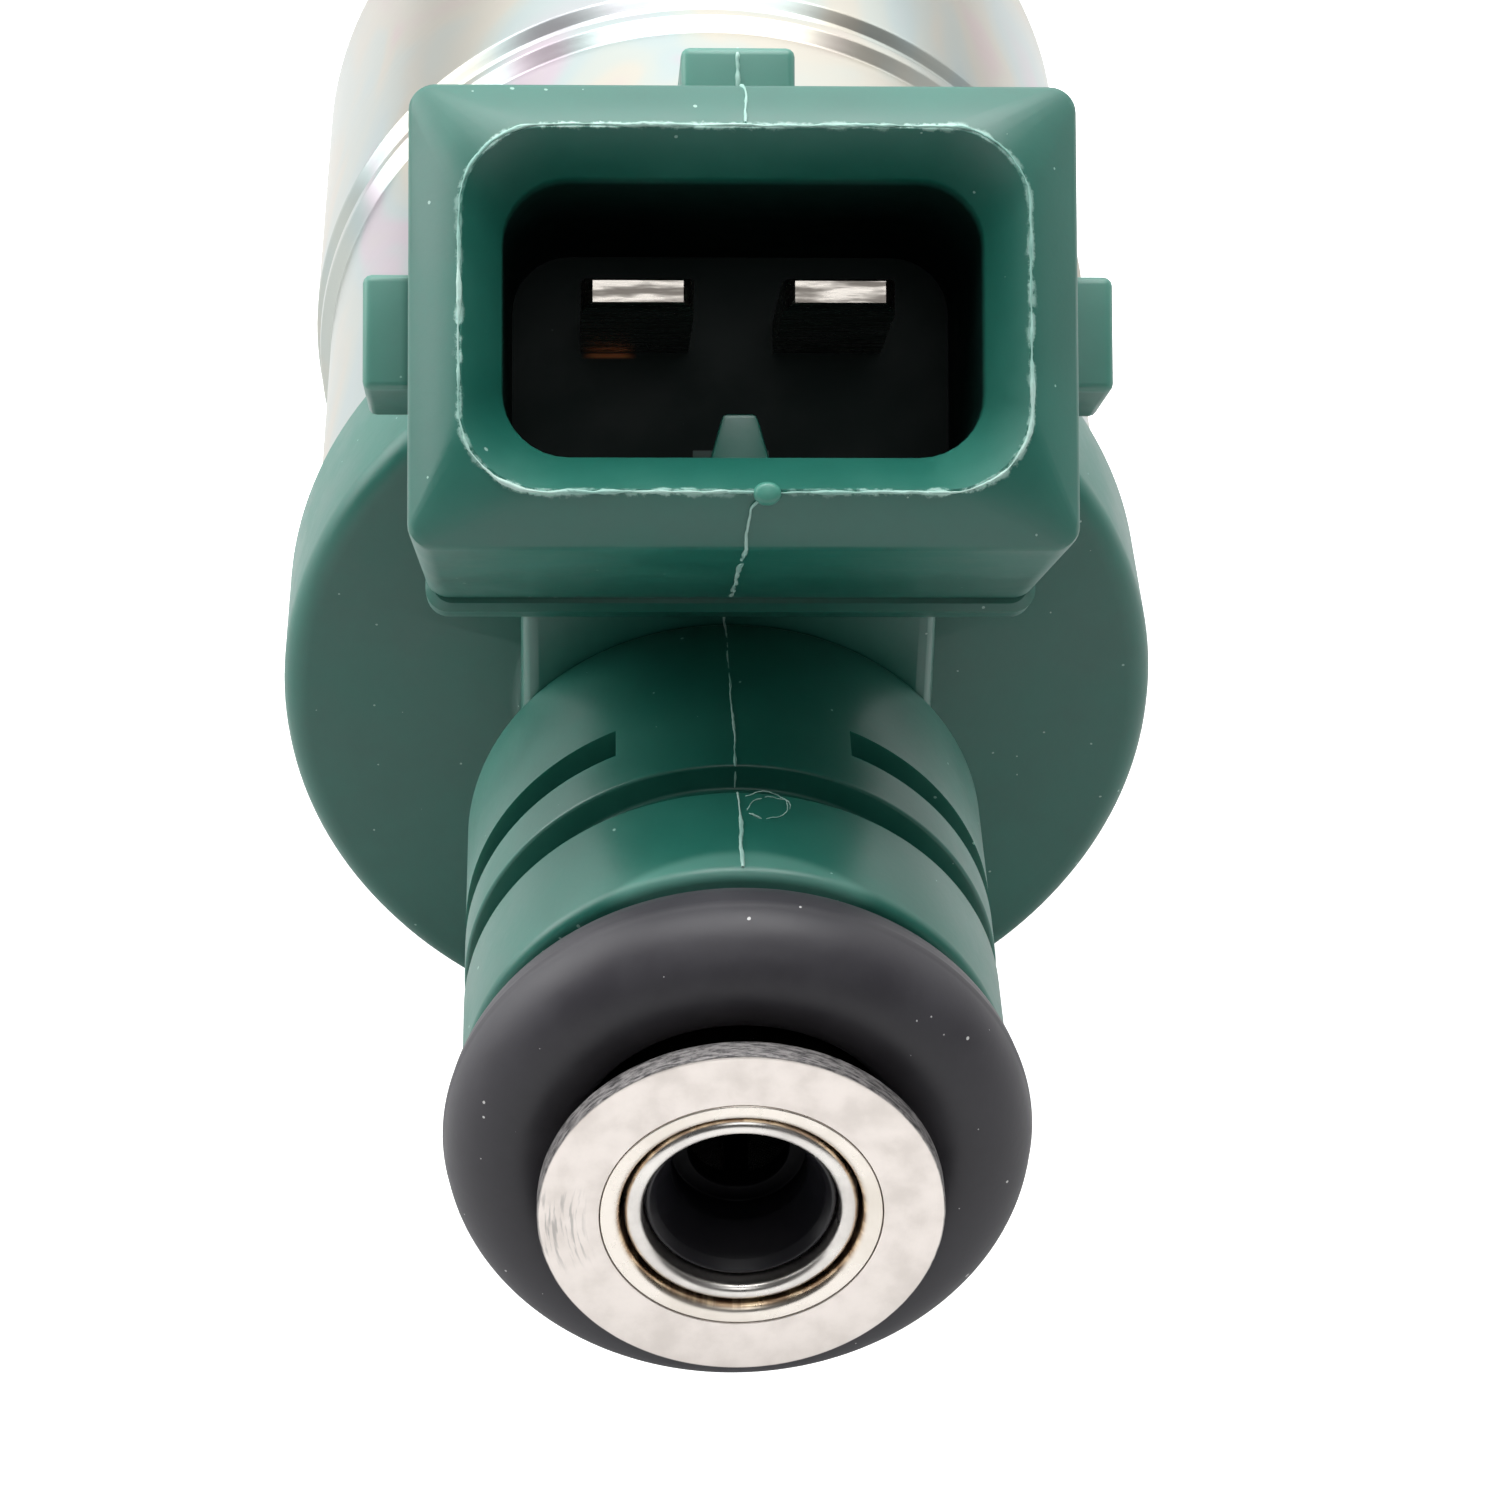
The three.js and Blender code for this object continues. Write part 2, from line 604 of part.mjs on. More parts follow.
function bodySealRing() {
  const middle = nozzleFront + BODY_SEAL.front + BODY_SEAL.width / 2;
  return sealRing(NOZZLE_FLANGE_RADIUS - BODY_SEAL.depth, BODY_SEAL.section, middle);
}

function lowerSpacerRing() {
  const front = shankEnd + PRESS_GAP;
  const back = lowerRingAt - seatSpan;
  const edge = 0.3;
  return turned([
    [O_RING_SEAT + PRESS_GAP, front],
    [NECK_RADIUS - edge, front],
    [NECK_RADIUS, front + edge],
    [NECK_RADIUS, back],
    [O_RING_SEAT + PRESS_GAP, back],
  ]);
}

// The plastic sleeve round the pintle, with a flange that keeps the lower O-ring on.
function nozzleCap() {
  const mouth = 2.2;
  const collar = capRadius + 1;
  const collarBack = capFront + 1.2;
  const round = 0.6;
  return turned([
    [O_RING_SEAT + PRESS_GAP, capFront],
    [collar, capFront],
    [collar, collarBack],
    [capRadius, collarBack + 0.4],
    ...arc(capRadius - round, capEnd - round, round, 0, 90, 3),
    [mouth + 0.5, capEnd],
    [mouth, capEnd - round],
    [mouth, nozzleEnd + PRESS_GAP],
    [O_RING_SEAT + PRESS_GAP, nozzleEnd + PRESS_GAP],
  ]);
}

// ---------------------------------------------------------------- connector blades

// A blade in side view, straight out of the socket and bent to run along the axis; grow widens it.
function bladeProfile(from, grow) {
  const half = BLADE.thickness / 2 + grow;
  const [frontY, frontZ] = inSideView(BLADE.height, 0);
  const bend = (frontZ - bladeTailHeight) / Math.sin(CONNECTOR_TILT);
  const bendY = frontY + bend * Math.cos(CONNECTOR_TILT);
  const mitre = half * Math.tan(CONNECTOR_TILT / 2);
  return [
    inSideView(BLADE.height - half, from),
    [bendY - mitre, bladeTailHeight - half],
    [bladeTailEnd + grow, bladeTailHeight - half],
    [bladeTailEnd + grow, bladeTailHeight + half],
    [bendY + mitre, bladeTailHeight + half],
    inSideView(BLADE.height + half, from),
  ];
}

// The full-width part of a blade, ending just under the socket's floor.
function bladeHead(x, grow, tip, pointed) {
  const half = BLADE.thickness / 2 + grow;
  const width = BLADE.width / 2 + grow;
  const point = pointed ? 0.3 : 0;
  const outlines = [[width, half], [width, half], [width - point, half - point / 2]];
  const root = -(CAVITY.depth + 1);
  const taper = 1.2;
  const rings = outlines.map(([w, h]) => [[x + w, h], [x - w, h], [x - w, -h], [x + w, -h]]
    .map(([across, up]) => [across, up + BLADE.height]));
  return loft(rings, [root - grow, tip - taper, tip]).applyMatrix4(connectorFrame);
}

function terminalBlade(x) {
  const tail = sidePlate(bladeProfile(-CAVITY.depth, 0), BLADE.tailWidth, x);
  return carved(bladeHead(x, 0, -BLADE.tip, true), [tail], []);
}

// The room that the moulding and the bobbin leave for a blade.
function bladeRoom(x) {
  const tail = sidePlate(bladeProfile(-CAVITY.depth + 0.5, MOULD_GAP), BLADE.tailWidth + 2 * MOULD_GAP, x);
  return carved(bladeHead(x, MOULD_GAP, -CAVITY.depth + OVERCUT, false), [tail], []);
}

// ---------------------------------------------------------------- housing moulding

// The neck with its clip groove, and the disc that the can's mouth sits in. Behind the neck the
// body is only as wide as the stem that stands on it.
function neckAndFlange() {
  const bore = O_RING_SEAT + PRESS_GAP;
  const edge = 0.25;
  const groove = NECK_RADIUS - CLIP_GROOVE_DEPTH;
  const grooveBack = CLIP_GROOVE_AT + CLIP_GROOVE_WIDTH;
  const rim = flangeRadius - FLANGE_ROUND;
  return turned([
    [bore, COLLAR_FRONT],
    [NECK_RADIUS - edge, COLLAR_FRONT],
    [NECK_RADIUS, COLLAR_FRONT + edge],
    [NECK_RADIUS, CLIP_GROOVE_AT],
    [groove, CLIP_GROOVE_AT],
    [groove, grooveBack],
    [NECK_RADIUS, grooveBack],
    [NECK_RADIUS, NECK_BACK],
    [STEM_HALF_WIDTH, NECK_BACK],
    [STEM_HALF_WIDTH, FLANGE_FRONT],
    ...arc(rim, FLANGE_FRONT + FLANGE_ROUND, FLANGE_ROUND, -90, 0, 4),
    [flangeRadius, flangeBack],
    [CAN_RADIUS + PRESS_GAP, flangeBack],
    [CAN_RADIUS + PRESS_GAP, canMouth],
    [sealSeat, canMouth],
    [sealSeat, sealFront],
    [bore, sealFront],
  ], OUTER_SIDES);
}

const sealSpace = 2 * CORE_SEAL_SECTION + 2 * PRESS_GAP;
const sealSeat = O_RING_SEAT + sealSpace;
const sealFront = canMouth - sealSpace;

// The partial slot that runs round both sides of the neck.
function sideSlots() {
  const ring = washer(NECK_RADIUS - SIDE_SLOT_DEPTH, NECK_RADIUS + OVERCUT,
    SIDE_SLOT_AT, SIDE_SLOT_AT + SIDE_SLOT_WIDTH, OUTER_SIDES);
  const reach = NECK_RADIUS + 2 * OVERCUT;
  const bridge = block([-SIDE_SLOT_START, SIDE_SLOT_AT - OVERCUT, -reach],
    [SIDE_SLOT_START, SIDE_SLOT_AT + SIDE_SLOT_WIDTH + OVERCUT, reach]);
  return carved(ring, [], [bridge]);
}

// The arm from the neck and flange up to the connector.
function stem() {
  const [, rearLow] = inSideView(-SHROUD.halfHeight, -SHROUD.depth);
  const rearTop = inSideView(SHROUD.halfHeight - 0.5, -SHROUD.depth + 0.5);
  const inside = inSideView(SHROUD.halfHeight - 2, -SHROUD.depth + 1.2);
  const back = flangeBack - 1;
  return sidePlate([
    [NECK_BACK, 0],
    [back, 0],
    [back, flangeRadius - FLANGE_ROUND],
    rearTop,
    inside,
    [NECK_BACK, rearLow + 0.8],
  ], 2 * STEM_HALF_WIDTH);
}

// The connector's shroud in its own frame: ledge, plain length, sloping frame and rim.
function shroud() {
  const outer = roundedOutline(SHROUD.halfWidth, SHROUD.halfHeight, SHROUD.corner);
  const rear = roundedOutline(SHROUD.halfWidth - 0.2, SHROUD.halfHeight, SHROUD.corner);
  const rim = roundedOutline(RIM.halfWidth, RIM.halfHeight, RIM.corner);
  return loft([rear, outer, rim], [-SHROUD.depth, 0, RIM.proud]);
}

// A bar with round edges, lying along the connector's z.
function bar(centreX, centreY, halfWidth, halfHeight, corner, back, front) {
  const outline = roundedOutline(halfWidth, halfHeight, corner);
  const placed = outline.map(([x, y]) => [x + centreX, y + centreY]);
  return loft([placed, placed], [back, front]);
}

function rearLedge() {
  const halfHeight = SHROUD.halfHeight / 2;
  return bar(0, -halfHeight - REAR_LEDGE.drop, REAR_LEDGE.halfWidth, halfHeight, SHROUD.corner,
    -SHROUD.depth, -SHROUD.depth + REAR_LEDGE.length);
}

// The three nubs that a wire clip catches on: one at each side and one on top.
function clipNubs() {
  const inset = 1;
  const edge = 0.3;
  const side = (SIDE_NUB.reach + inset) / 2;
  const sideX = SHROUD.halfWidth - inset + side;
  const top = (TOP_NUB.reach + inset) / 2;
  const topY = SHROUD.halfHeight - inset + top;
  const sideBack = -SIDE_NUB.front - SIDE_NUB.length;
  const topBack = -TOP_NUB.front - TOP_NUB.length;
  return [
    bar(-sideX, SIDE_NUB.rise, side, SIDE_NUB.halfHeight, edge, sideBack, -SIDE_NUB.front),
    bar(sideX, SIDE_NUB.rise, side, SIDE_NUB.halfHeight, edge, sideBack, -SIDE_NUB.front),
    bar(0, topY, TOP_NUB.halfWidth, top, edge, topBack, -TOP_NUB.front),
  ];
}

// The socket: a lead-in from the rim, then a deep pocket with a little draft.
function socket() {
  const slope = (RIM.halfWidth - CAVITY.halfWidth) / (RIM.proud + CAVITY.mouth);
  const past = 0.3;
  const { halfWidth, halfHeight, corner, draft } = CAVITY;
  const mouth = roundedOutline(halfWidth, halfHeight, corner);
  const floor = roundedOutline(halfWidth - draft, halfHeight - draft, corner);
  const grown = slope * past;
  const front = roundedOutline(RIM.halfWidth + grown, RIM.halfHeight + grown, RIM.corner);
  return loft([floor, mouth, front], [-CAVITY.depth, -CAVITY.mouth, RIM.proud + past]);
}

// The key rib on the socket's lower wall.
function keyRib() {
  const root = 0.5; // how far it runs into the wall and the floor
  const low = -CAVITY.halfHeight - root;
  const high = -CAVITY.halfHeight + KEY_RIB.height;
  const shape = new THREE.Shape([
    new THREE.Vector2(-KEY_RIB.base, low),
    new THREE.Vector2(KEY_RIB.base, low),
    new THREE.Vector2(KEY_RIB.top, high),
    new THREE.Vector2(-KEY_RIB.top, high),
  ]);
  const depth = CAVITY.depth - KEY_RIB.front + root;
  const rib = new THREE.ExtrudeGeometry(shape, { depth, bevelEnabled: false, steps: 1 });
  rib.translate(0, 0, -CAVITY.depth - root);
  return rib;
}

function connector() {
  return carved(carved(shroud(), [rearLedge(), ...clipNubs()], [socket()]), [keyRib()], [])
    .applyMatrix4(connectorFrame);
}

// The space inside the neck and the flange, which the stem must not fill.
function coreSpace() {
  const bore = O_RING_SEAT + PRESS_GAP;
  return turned([
    [0, COLLAR_FRONT - OVERCUT],
    [bore, COLLAR_FRONT - OVERCUT],
    [bore, sealFront],
    [sealSeat, sealFront],
    [sealSeat, canMouth],
    [CAN_RADIUS + PRESS_GAP, canMouth],
    [CAN_RADIUS + PRESS_GAP, flangeBack + OVERCUT],
    [0, flangeBack + OVERCUT],
  ], OUTER_SIDES);
}

function housing(bladeRooms) {
  return carved(neckAndFlange(), [stem(), connector()], [coreSpace(), sideSlots(), ...bladeRooms]);
}

// ---------------------------------------------------------------- the injector

const injector = new THREE.Group();

function add(name, geometry, material) {
  const mesh = new THREE.Mesh(geometry, material);
  mesh.name = name;
  injector.add(mesh);
}

const bladePlaces = [-BLADE.pitch / 2, BLADE.pitch / 2];
const bladeRooms = bladePlaces.map(bladeRoom);

add('inlet_tube', inletTube(), stainless);
add('inlet_flange_ring', inletFlangeRing(), stainless);
add('filter_sleeve', filterSleeve(), stainless);
add('filter_basket', filterBasket(), blackPlastic);
add('filter_mesh', filterMesh(), nylonMesh);
add('adjusting_sleeve', adjustingSleeve(), springSteel);
add('return_spring', returnSpring(), springSteel);
add('coil_bobbin', coilBobbin(bladeRooms), bobbinPlastic);
add('coil_winding', coilWinding(), copper);
add('core_seal_ring', sealRing(O_RING_SEAT, CORE_SEAL_SECTION, (sealFront + canMouth) / 2), rubber);
add('bobbin_seal_ring', sealRing(BOBBIN_SEAL.seat, BOBBIN_SEAL.section, (bobbinBack + canFloor) / 2), rubber);
add('housing', housing(bladeRooms), greenPlastic);
add('terminal_blade_left', terminalBlade(bladePlaces[0]), tinnedBrass);
add('terminal_blade_right', terminalBlade(bladePlaces[1]), tinnedBrass);
add('end_plate', endPlate(), softIron);
add('solenoid_can', solenoidCan(), zincPlate);
add('stop_plate', stopPlate(), springSteel);
add('armature', armature(), softIron);
add('needle', needle(), stainless);
add('nozzle_body', nozzleBody(), stainless);
add('body_seal_ring', bodySealRing(), rubber);
add('upper_o_ring', oRing(O_RING_SEAT, O_RING_SECTION, upperRingAt), rubber);
add('lower_o_ring', oRing(O_RING_SEAT, O_RING_SECTION, lowerRingAt), rubber);
add('lower_spacer_ring', lowerSpacerRing(), blackPlastic);
add('nozzle_cap', nozzleCap(), blackPlastic);

export default injector;
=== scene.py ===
"""A top-feed fuel injector lying on a white table, connector up, seen from its fuel inlet."""

import math

import bmesh
import bpy
from mathutils import Matrix, Vector


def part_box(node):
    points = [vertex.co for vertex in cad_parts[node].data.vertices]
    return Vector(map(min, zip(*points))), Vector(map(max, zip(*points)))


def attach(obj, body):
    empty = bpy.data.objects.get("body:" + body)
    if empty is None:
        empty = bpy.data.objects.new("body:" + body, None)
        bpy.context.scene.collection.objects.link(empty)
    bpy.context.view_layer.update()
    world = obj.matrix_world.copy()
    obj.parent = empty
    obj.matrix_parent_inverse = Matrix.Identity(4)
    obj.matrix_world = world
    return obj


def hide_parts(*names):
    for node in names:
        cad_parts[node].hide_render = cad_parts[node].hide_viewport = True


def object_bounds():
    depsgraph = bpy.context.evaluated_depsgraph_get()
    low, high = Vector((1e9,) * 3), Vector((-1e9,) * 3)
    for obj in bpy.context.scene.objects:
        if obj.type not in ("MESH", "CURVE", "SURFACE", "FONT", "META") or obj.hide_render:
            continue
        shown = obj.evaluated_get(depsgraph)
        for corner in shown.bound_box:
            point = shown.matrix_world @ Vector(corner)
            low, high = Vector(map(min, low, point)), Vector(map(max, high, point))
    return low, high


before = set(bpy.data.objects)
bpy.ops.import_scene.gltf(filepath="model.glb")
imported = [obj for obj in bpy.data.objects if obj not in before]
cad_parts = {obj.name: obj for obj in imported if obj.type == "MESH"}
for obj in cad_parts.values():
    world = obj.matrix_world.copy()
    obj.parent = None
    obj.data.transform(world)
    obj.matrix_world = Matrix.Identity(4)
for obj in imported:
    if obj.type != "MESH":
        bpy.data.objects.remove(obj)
cad_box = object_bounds()

# ---------------------------------------------------------------------------------------------
# The inlet tube is the solenoid's core and the fuel's way in: turned stainless steel, straw
# tinted on its rolled lip with bright patches painted there as glints, and painted near black as
# shade where the O-ring sits. It runs from the inlet face down through the coil, so every other
# piece is stacked or pressed on it.

MM = 0.001
AXIS_SIDES = 192


def fillet(corner, before, after, radius, steps):
    """Points of an arc that rounds one corner of an outline."""
    c, b, a = Vector(corner), Vector(before), Vector(after)
    u, v = (b - c).normalized(), (a - c).normalized()
    half = u.angle(v) / 2
    reach = radius / math.tan(half)
    limit = 0.49 * min((b - c).length, (a - c).length)
    if reach > limit:
        reach, radius = limit, limit * math.tan(half)
    centre = c + (u + v).normalized() * (radius / math.sin(half))
    start, end = c + u * reach - centre, c + v * reach - centre
    turn = math.atan2(start.x * end.y - start.y * end.x, start.dot(end))
    spin = [Matrix.Rotation(turn * i / steps, 2) for i in range(steps + 1)]
    return [centre + m @ start for m in spin]


def outline_points(corners, steps):
    """The rounded points of a closed outline of (radius, along, rounding) corners."""
    points = []
    for i, (r, y, rounding) in enumerate(corners):
        before, after = corners[i - 1], corners[(i + 1) % len(corners)]
        if rounding:
            points += fillet((r, y), before[:2], after[:2], rounding, steps)
        else:
            points.append(Vector((r, y)))
    return points


def link(thing):
    """Puts an object in the scene and returns it."""
    bpy.context.scene.collection.objects.link(thing)
    return thing


def mesh_object(name, vertices, faces):
    """A mesh object in metres from vertices in millimetres, with its faces pointing out."""
    mesh = bpy.data.meshes.new(name)
    mesh.from_pydata([[c * MM for c in v] for v in vertices], [], faces)
    work = bmesh.new()
    work.from_mesh(mesh)
    bmesh.ops.remove_doubles(work, verts=work.verts, dist=1e-7)
    bmesh.ops.recalc_face_normals(work, faces=work.faces)
    work.to_mesh(mesh)
    work.free()
    return link(bpy.data.objects.new(name, mesh))


def turned(name, corners, steps=5):
    """An outline's corners, in millimetres, rounded and turned about the injector's axis."""
    points = outline_points(corners, steps)
    count = len(points)
    vertices, faces = [], []
    for s in range(AXIS_SIDES):
        angle = 2 * math.pi * s / AXIS_SIDES
        vertices += [(r * math.sin(angle), y, r * math.cos(angle)) for r, y in points]
        here, there = s * count, (s + 1) % AXIS_SIDES * count
        for i in range(count):
            j = (i + 1) % count
            faces.append((here + i, here + j, there + j, there + i))
    return mesh_object(name, vertices, faces)


def hoop(name, inner, outer, front, back, roundings, steps=5):
    """A plain ring between two radii and two places along the axis, its corners rounded."""
    places = ((inner, front), (outer, front), (outer, back), (inner, back))
    return turned(name, [(*place, r) for place, r in zip(places, roundings)], steps)


def feed(value, socket):
    """Links another node's output to an input, or sets the input to a plain value."""
    if isinstance(value, bpy.types.NodeSocket):
        socket.id_data.links.new(value, socket)
    else:
        socket.default_value = value


def add(tree, kind, inputs=None, **settings):
    """Adds a node, sets its properties and feeds its inputs."""
    node = tree.nodes.new(kind)
    for key, value in settings.items():
        setattr(node, key, value)
    for key, value in (inputs or {}).items():
        feed(value, node.inputs[key])
    return node


def math_node(operation, *inputs):
    """The output of a Math node, in the tree that its inputs come from."""
    tree = next(value for value in inputs if isinstance(value, bpy.types.NodeSocket)).id_data
    return add(tree, "ShaderNodeMath", dict(enumerate(inputs)), operation=operation).outputs[0]


def product(first, *others):
    """The product of sockets and numbers."""
    for other in others:
        first = math_node("MULTIPLY", first, other)
    return first


def map_range(value, low, high, to_low=0.0, to_high=1.0):
    """A value eased from one range into another, and clamped to it."""
    inputs = {"Value": value, "From Min": low, "From Max": high,
              "To Min": to_low, "To Max": to_high}
    node = add(value.id_data, "ShaderNodeMapRange", inputs, interpolation_type="SMOOTHSTEP")
    return node.outputs["Result"]


def rise(length, low, high):
    """A mask that goes from 0 to 1 between two lengths in millimetres."""
    return map_range(length, low * MM, high * MM)


def fall(length, low, high):
    """A mask that goes from 1 to 0 between two lengths in millimetres."""
    return map_range(length, low * MM, high * MM, 1.0, 0.0)


def mix_colour(factor, *colours):
    """A mix of two colours, each a socket or red, green and blue."""
    a, b = ((*c, 1.0) if isinstance(c, tuple) else c for c in colours)
    inputs = {0: factor, 6: a, 7: b}
    return add(factor.id_data, "ShaderNodeMix", inputs, data_type="RGBA").outputs[2]


def object_place(tree):
    """Where a point is, in metres in the object's own frame."""
    return tree.nodes.new("ShaderNodeTexCoord").outputs["Object"]


def plane_place(x, y):
    """A place made from two numbers."""
    return add(y.id_data, "ShaderNodeCombineXYZ", {"X": x, "Y": y}).outputs[0]


def noise(place, dimensions="3D", **values):
    """A noise texture's value at a place, which in one dimension is a number."""
    inputs = {"W" if dimensions == "1D" else "Vector": place, **values}
    node = add(place.id_data, "ShaderNodeTexNoise", inputs, noise_dimensions=dimensions)
    return node.outputs["Fac"]


def place_group(tree, group, **values):
    """Puts a node group in a tree with its own values; returns its outputs."""
    return add(tree, "ShaderNodeGroup", values, node_tree=group).outputs


def group_ends(group):
    """What comes into a node group, and what goes out of it."""
    return group.nodes.new("NodeGroupInput").outputs, group.nodes.new("NodeGroupOutput").inputs


def new_group(name, inputs, outputs):
    """An empty shader node group; returns it with its ends."""
    group = bpy.data.node_groups.new(name, "ShaderNodeTree")
    for title, value in inputs.items():
        socket = group.interface.new_socket(title, in_out="INPUT", socket_type="NodeSocketFloat")
        socket.default_value = value
    for title in outputs:
        group.interface.new_socket(title, in_out="OUTPUT", socket_type="NodeSocketFloat")
    return group, *group_ends(group)


def build_axis_place():
    """Where a point is on the injector: radius, angle and distance along the axis."""
    group, _, end = new_group("axis_place", {}, ["Radius", "Angle", "Along"])
    x, y, z = add(group, "ShaderNodeSeparateXYZ", {"Vector": object_place(group)}).outputs
    squares = [math_node("POWER", side, 2.0) for side in (x, z)]
    feed(math_node("SQRT", math_node("ADD", *squares)), end["Radius"])
    feed(math_node("ARCTAN2", x, z), end["Angle"])
    feed(y, end["Along"])
    return group


def build_turning_marks():
    """Fine grooves left by a lathe tool, as a height: rings on a face, threads on a side."""
    inputs = {"Pitch": 0.00008, "Unevenness": 0.5}
    group, start, end = new_group("turning_marks", inputs, ["Height"])
    place = place_group(group, axis_place)
    travel = math_node("ADD", place["Radius"], place["Along"])
    count = math_node("DIVIDE", travel, start["Pitch"])
    coarse = noise(count, "1D", Scale=1.0, Detail=4.0)
    broken = noise(plane_place(count, place["Angle"]), Scale=0.7, Detail=2.0)
    uneven = product(broken, start["Unevenness"])
    feed(math_node("ADD", coarse, uneven), end["Height"])
    return group


def build_blotches():
    """Soft uneven patches, as a mask from 0 to 1."""
    group, start, end = new_group("blotches", {"Size": 0.003, "Low": 0.4, "High": 0.6}, ["Mask"])
    scale = math_node("DIVIDE", 1.0, start["Size"])
    cloud = noise(object_place(group), Scale=scale, Detail=5.0, Roughness=0.6)
    feed(map_range(cloud, start["Low"], start["High"]), end["Mask"])
    return group


def build_specks():
    """Sparse ragged grains of dust, as a mask of 0 and 1."""
    inputs = {"Spacing": 0.0012, "Grain": 0.05, "Share": 0.3}
    group, start, end = new_group("specks", inputs, ["Mask"])
    place = object_place(group)
    bent = add(group, "ShaderNodeTexNoise", {"Vector": place, "Scale": 2500.0, "Detail": 1.0})
    wobble = add(group, "ShaderNodeVectorMath", {0: bent.outputs["Color"], "Scale": 0.00012},
                 operation="SCALE")
    moved = add(group, "ShaderNodeVectorMath", {0: place, 1: wobble.outputs[0]}, operation="ADD")
    scale = math_node("DIVIDE", 1.0, start["Spacing"])
    cells = add(group, "ShaderNodeTexVoronoi", {"Vector": moved.outputs[0], "Scale": scale}).outputs
    chosen = add(group, "ShaderNodeSeparateColor", {"Color": cells["Color"]}).outputs
    picked = math_node("LESS_THAN", chosen[0], start["Share"])
    size = product(start["Grain"], chosen[1])
    near = math_node("LESS_THAN", cells["Distance"], size)
    feed(product(picked, near), end["Mask"])
    return group


axis_place = build_axis_place()
turning_marks = build_turning_marks()
blotches = build_blotches()
specks = build_specks()


def insides(material):
    """A material's tree and its Principled shader."""
    return material.node_tree, material.node_tree.nodes["Principled BSDF"]


def new_material(name, roughness, metallic=0.0, specular=0.5):
    """A material with a Principled shader."""
    material = bpy.data.materials.new(name)
    material.use_nodes = True
    shader = insides(material)[1]
    shader.inputs["Roughness"].default_value = roughness
    shader.inputs["Metallic"].default_value = metallic
    shader.inputs["Specular IOR Level"].default_value = specular
    return material


def two_tone(name, tones, roughness, gloss, patch, spread, metallic=0.0, specular=0.5):
    """A material of two tones in soft patches, whose gloss is uneven in the same patches."""
    material = new_material(name, roughness, metallic, specular)
    tree, shader = insides(material)
    cloud = place_group(tree, blotches, Size=patch, Low=spread[0], High=spread[1])["Mask"]
    feed(mix_colour(cloud, *tones), shader.inputs["Base Color"])
    low, high = (roughness * share for share in gloss)
    feed(map_range(cloud, 0, 1, low, high), shader.inputs["Roughness"])
    return material


def paint(shader, factor, colour):
    """Lays a colour over the shader's base colour, as far as the factor says."""
    below = shader.inputs["Base Color"].links[0].from_socket
    feed(mix_colour(factor, below, colour), shader.inputs["Base Color"])


def bump(shader, height, strength, distance):
    """Feeds a height to the shader's normal, after any bump that is there already."""
    inputs = {"Strength": strength, "Distance": distance, "Height": height}
    earlier = shader.inputs["Normal"].links
    if earlier:
        inputs["Normal"] = earlier[0].from_socket
    feed(add(shader.id_data, "ShaderNodeBump", inputs).outputs["Normal"], shader.inputs["Normal"])


def metal(name, light, dark, roughness, pitch, depth, patch=0.002):
    """Turned bare metal: two tones in soft patches, uneven gloss and a lathe's grooves."""
    tones = (light, dark)
    material = two_tone(name, tones, roughness, (0.85, 1.25), patch, (0.35, 0.7), metallic=1.0)
    tree, shader = insides(material)
    bump(shader, place_group(tree, turning_marks, Pitch=pitch)["Height"], 0.5, depth)
    return material


def finish(piece, material, angle):
    """Gives a piece its material, and smooth shading broken at corners over the angle."""
    piece.data.materials.clear()
    piece.data.materials.append(material)
    piece.data.shade_smooth()
    piece.data.set_sharp_from_angle(angle=math.radians(angle))


def dress(piece, material, slot_name, *replaced, angle=32):
    """Finishes a piece, gives it its body and hides the CAD nodes it stands for; the slot name is
    not used.
    """
    finish(piece, material, angle)
    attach(piece, "body")
    if replaced:
        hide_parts(*replaced)


def along(node):
    """Where a CAD node starts and ends along the axis, in millimetres."""
    low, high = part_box(node)
    return low.y / MM, high.y / MM


def radius_of(node):
    """A round CAD node's outer radius, in millimetres."""
    low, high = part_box(node)
    return (high.x - low.x) / 2 / MM


PRESS_GAP = 0.05
SPIGOT_STEP = 0.435
CORE_BORE = 2.0
FILTER_CLEARANCE = 1.8
LIP_WIDTH = 0.3

ring_front, ring_back = along("inlet_flange_ring")
tube_front, tube_back = along("inlet_tube")
core_front = along("end_plate")[0]
core_radius = radius_of("inlet_tube")
inlet_bore = radius_of("filter_sleeve") + 2 * PRESS_GAP
bore_step = along("filter_basket")[1] + FILTER_CLEARANCE
seal_front, seal_back = along("upper_o_ring")
seat_radius = radius_of("upper_o_ring") - (seal_back - seal_front) - PRESS_GAP
spigot_radius = seat_radius - SPIGOT_STEP
tube = turned("inlet_tube_turned", [
    (inlet_bore, tube_front, 0.27),
    (spigot_radius, tube_front, 0.05),
    (spigot_radius, ring_back + PRESS_GAP, 0),
    (seat_radius, ring_back + PRESS_GAP, 0.1),
    (seat_radius, core_front, 0),
    (core_radius, core_front, 0.2),
    (core_radius, tube_back, 0.2),
    (CORE_BORE, tube_back, 0.2),
    (CORE_BORE, bore_step, 0.2),
    (inlet_bore, bore_step, 0),
], 8)
straw_steel = metal("straw_steel", (0.9, 0.84, 0.77), (0.82, 0.76, 0.68), 0.3, 0.00009, 0.000004)
tree, shader = insides(straw_steel)
place = place_group(tree, axis_place)
# Painted shade: the tube's seat and core are painted near black, so the gap behind the flange ring
# reads as dark.
painted_gap_shade = rise(place["Radius"], spigot_radius + 0.08, spigot_radius + 0.15)
paint(shader, painted_gap_shade, (0.045, 0.043, 0.042))
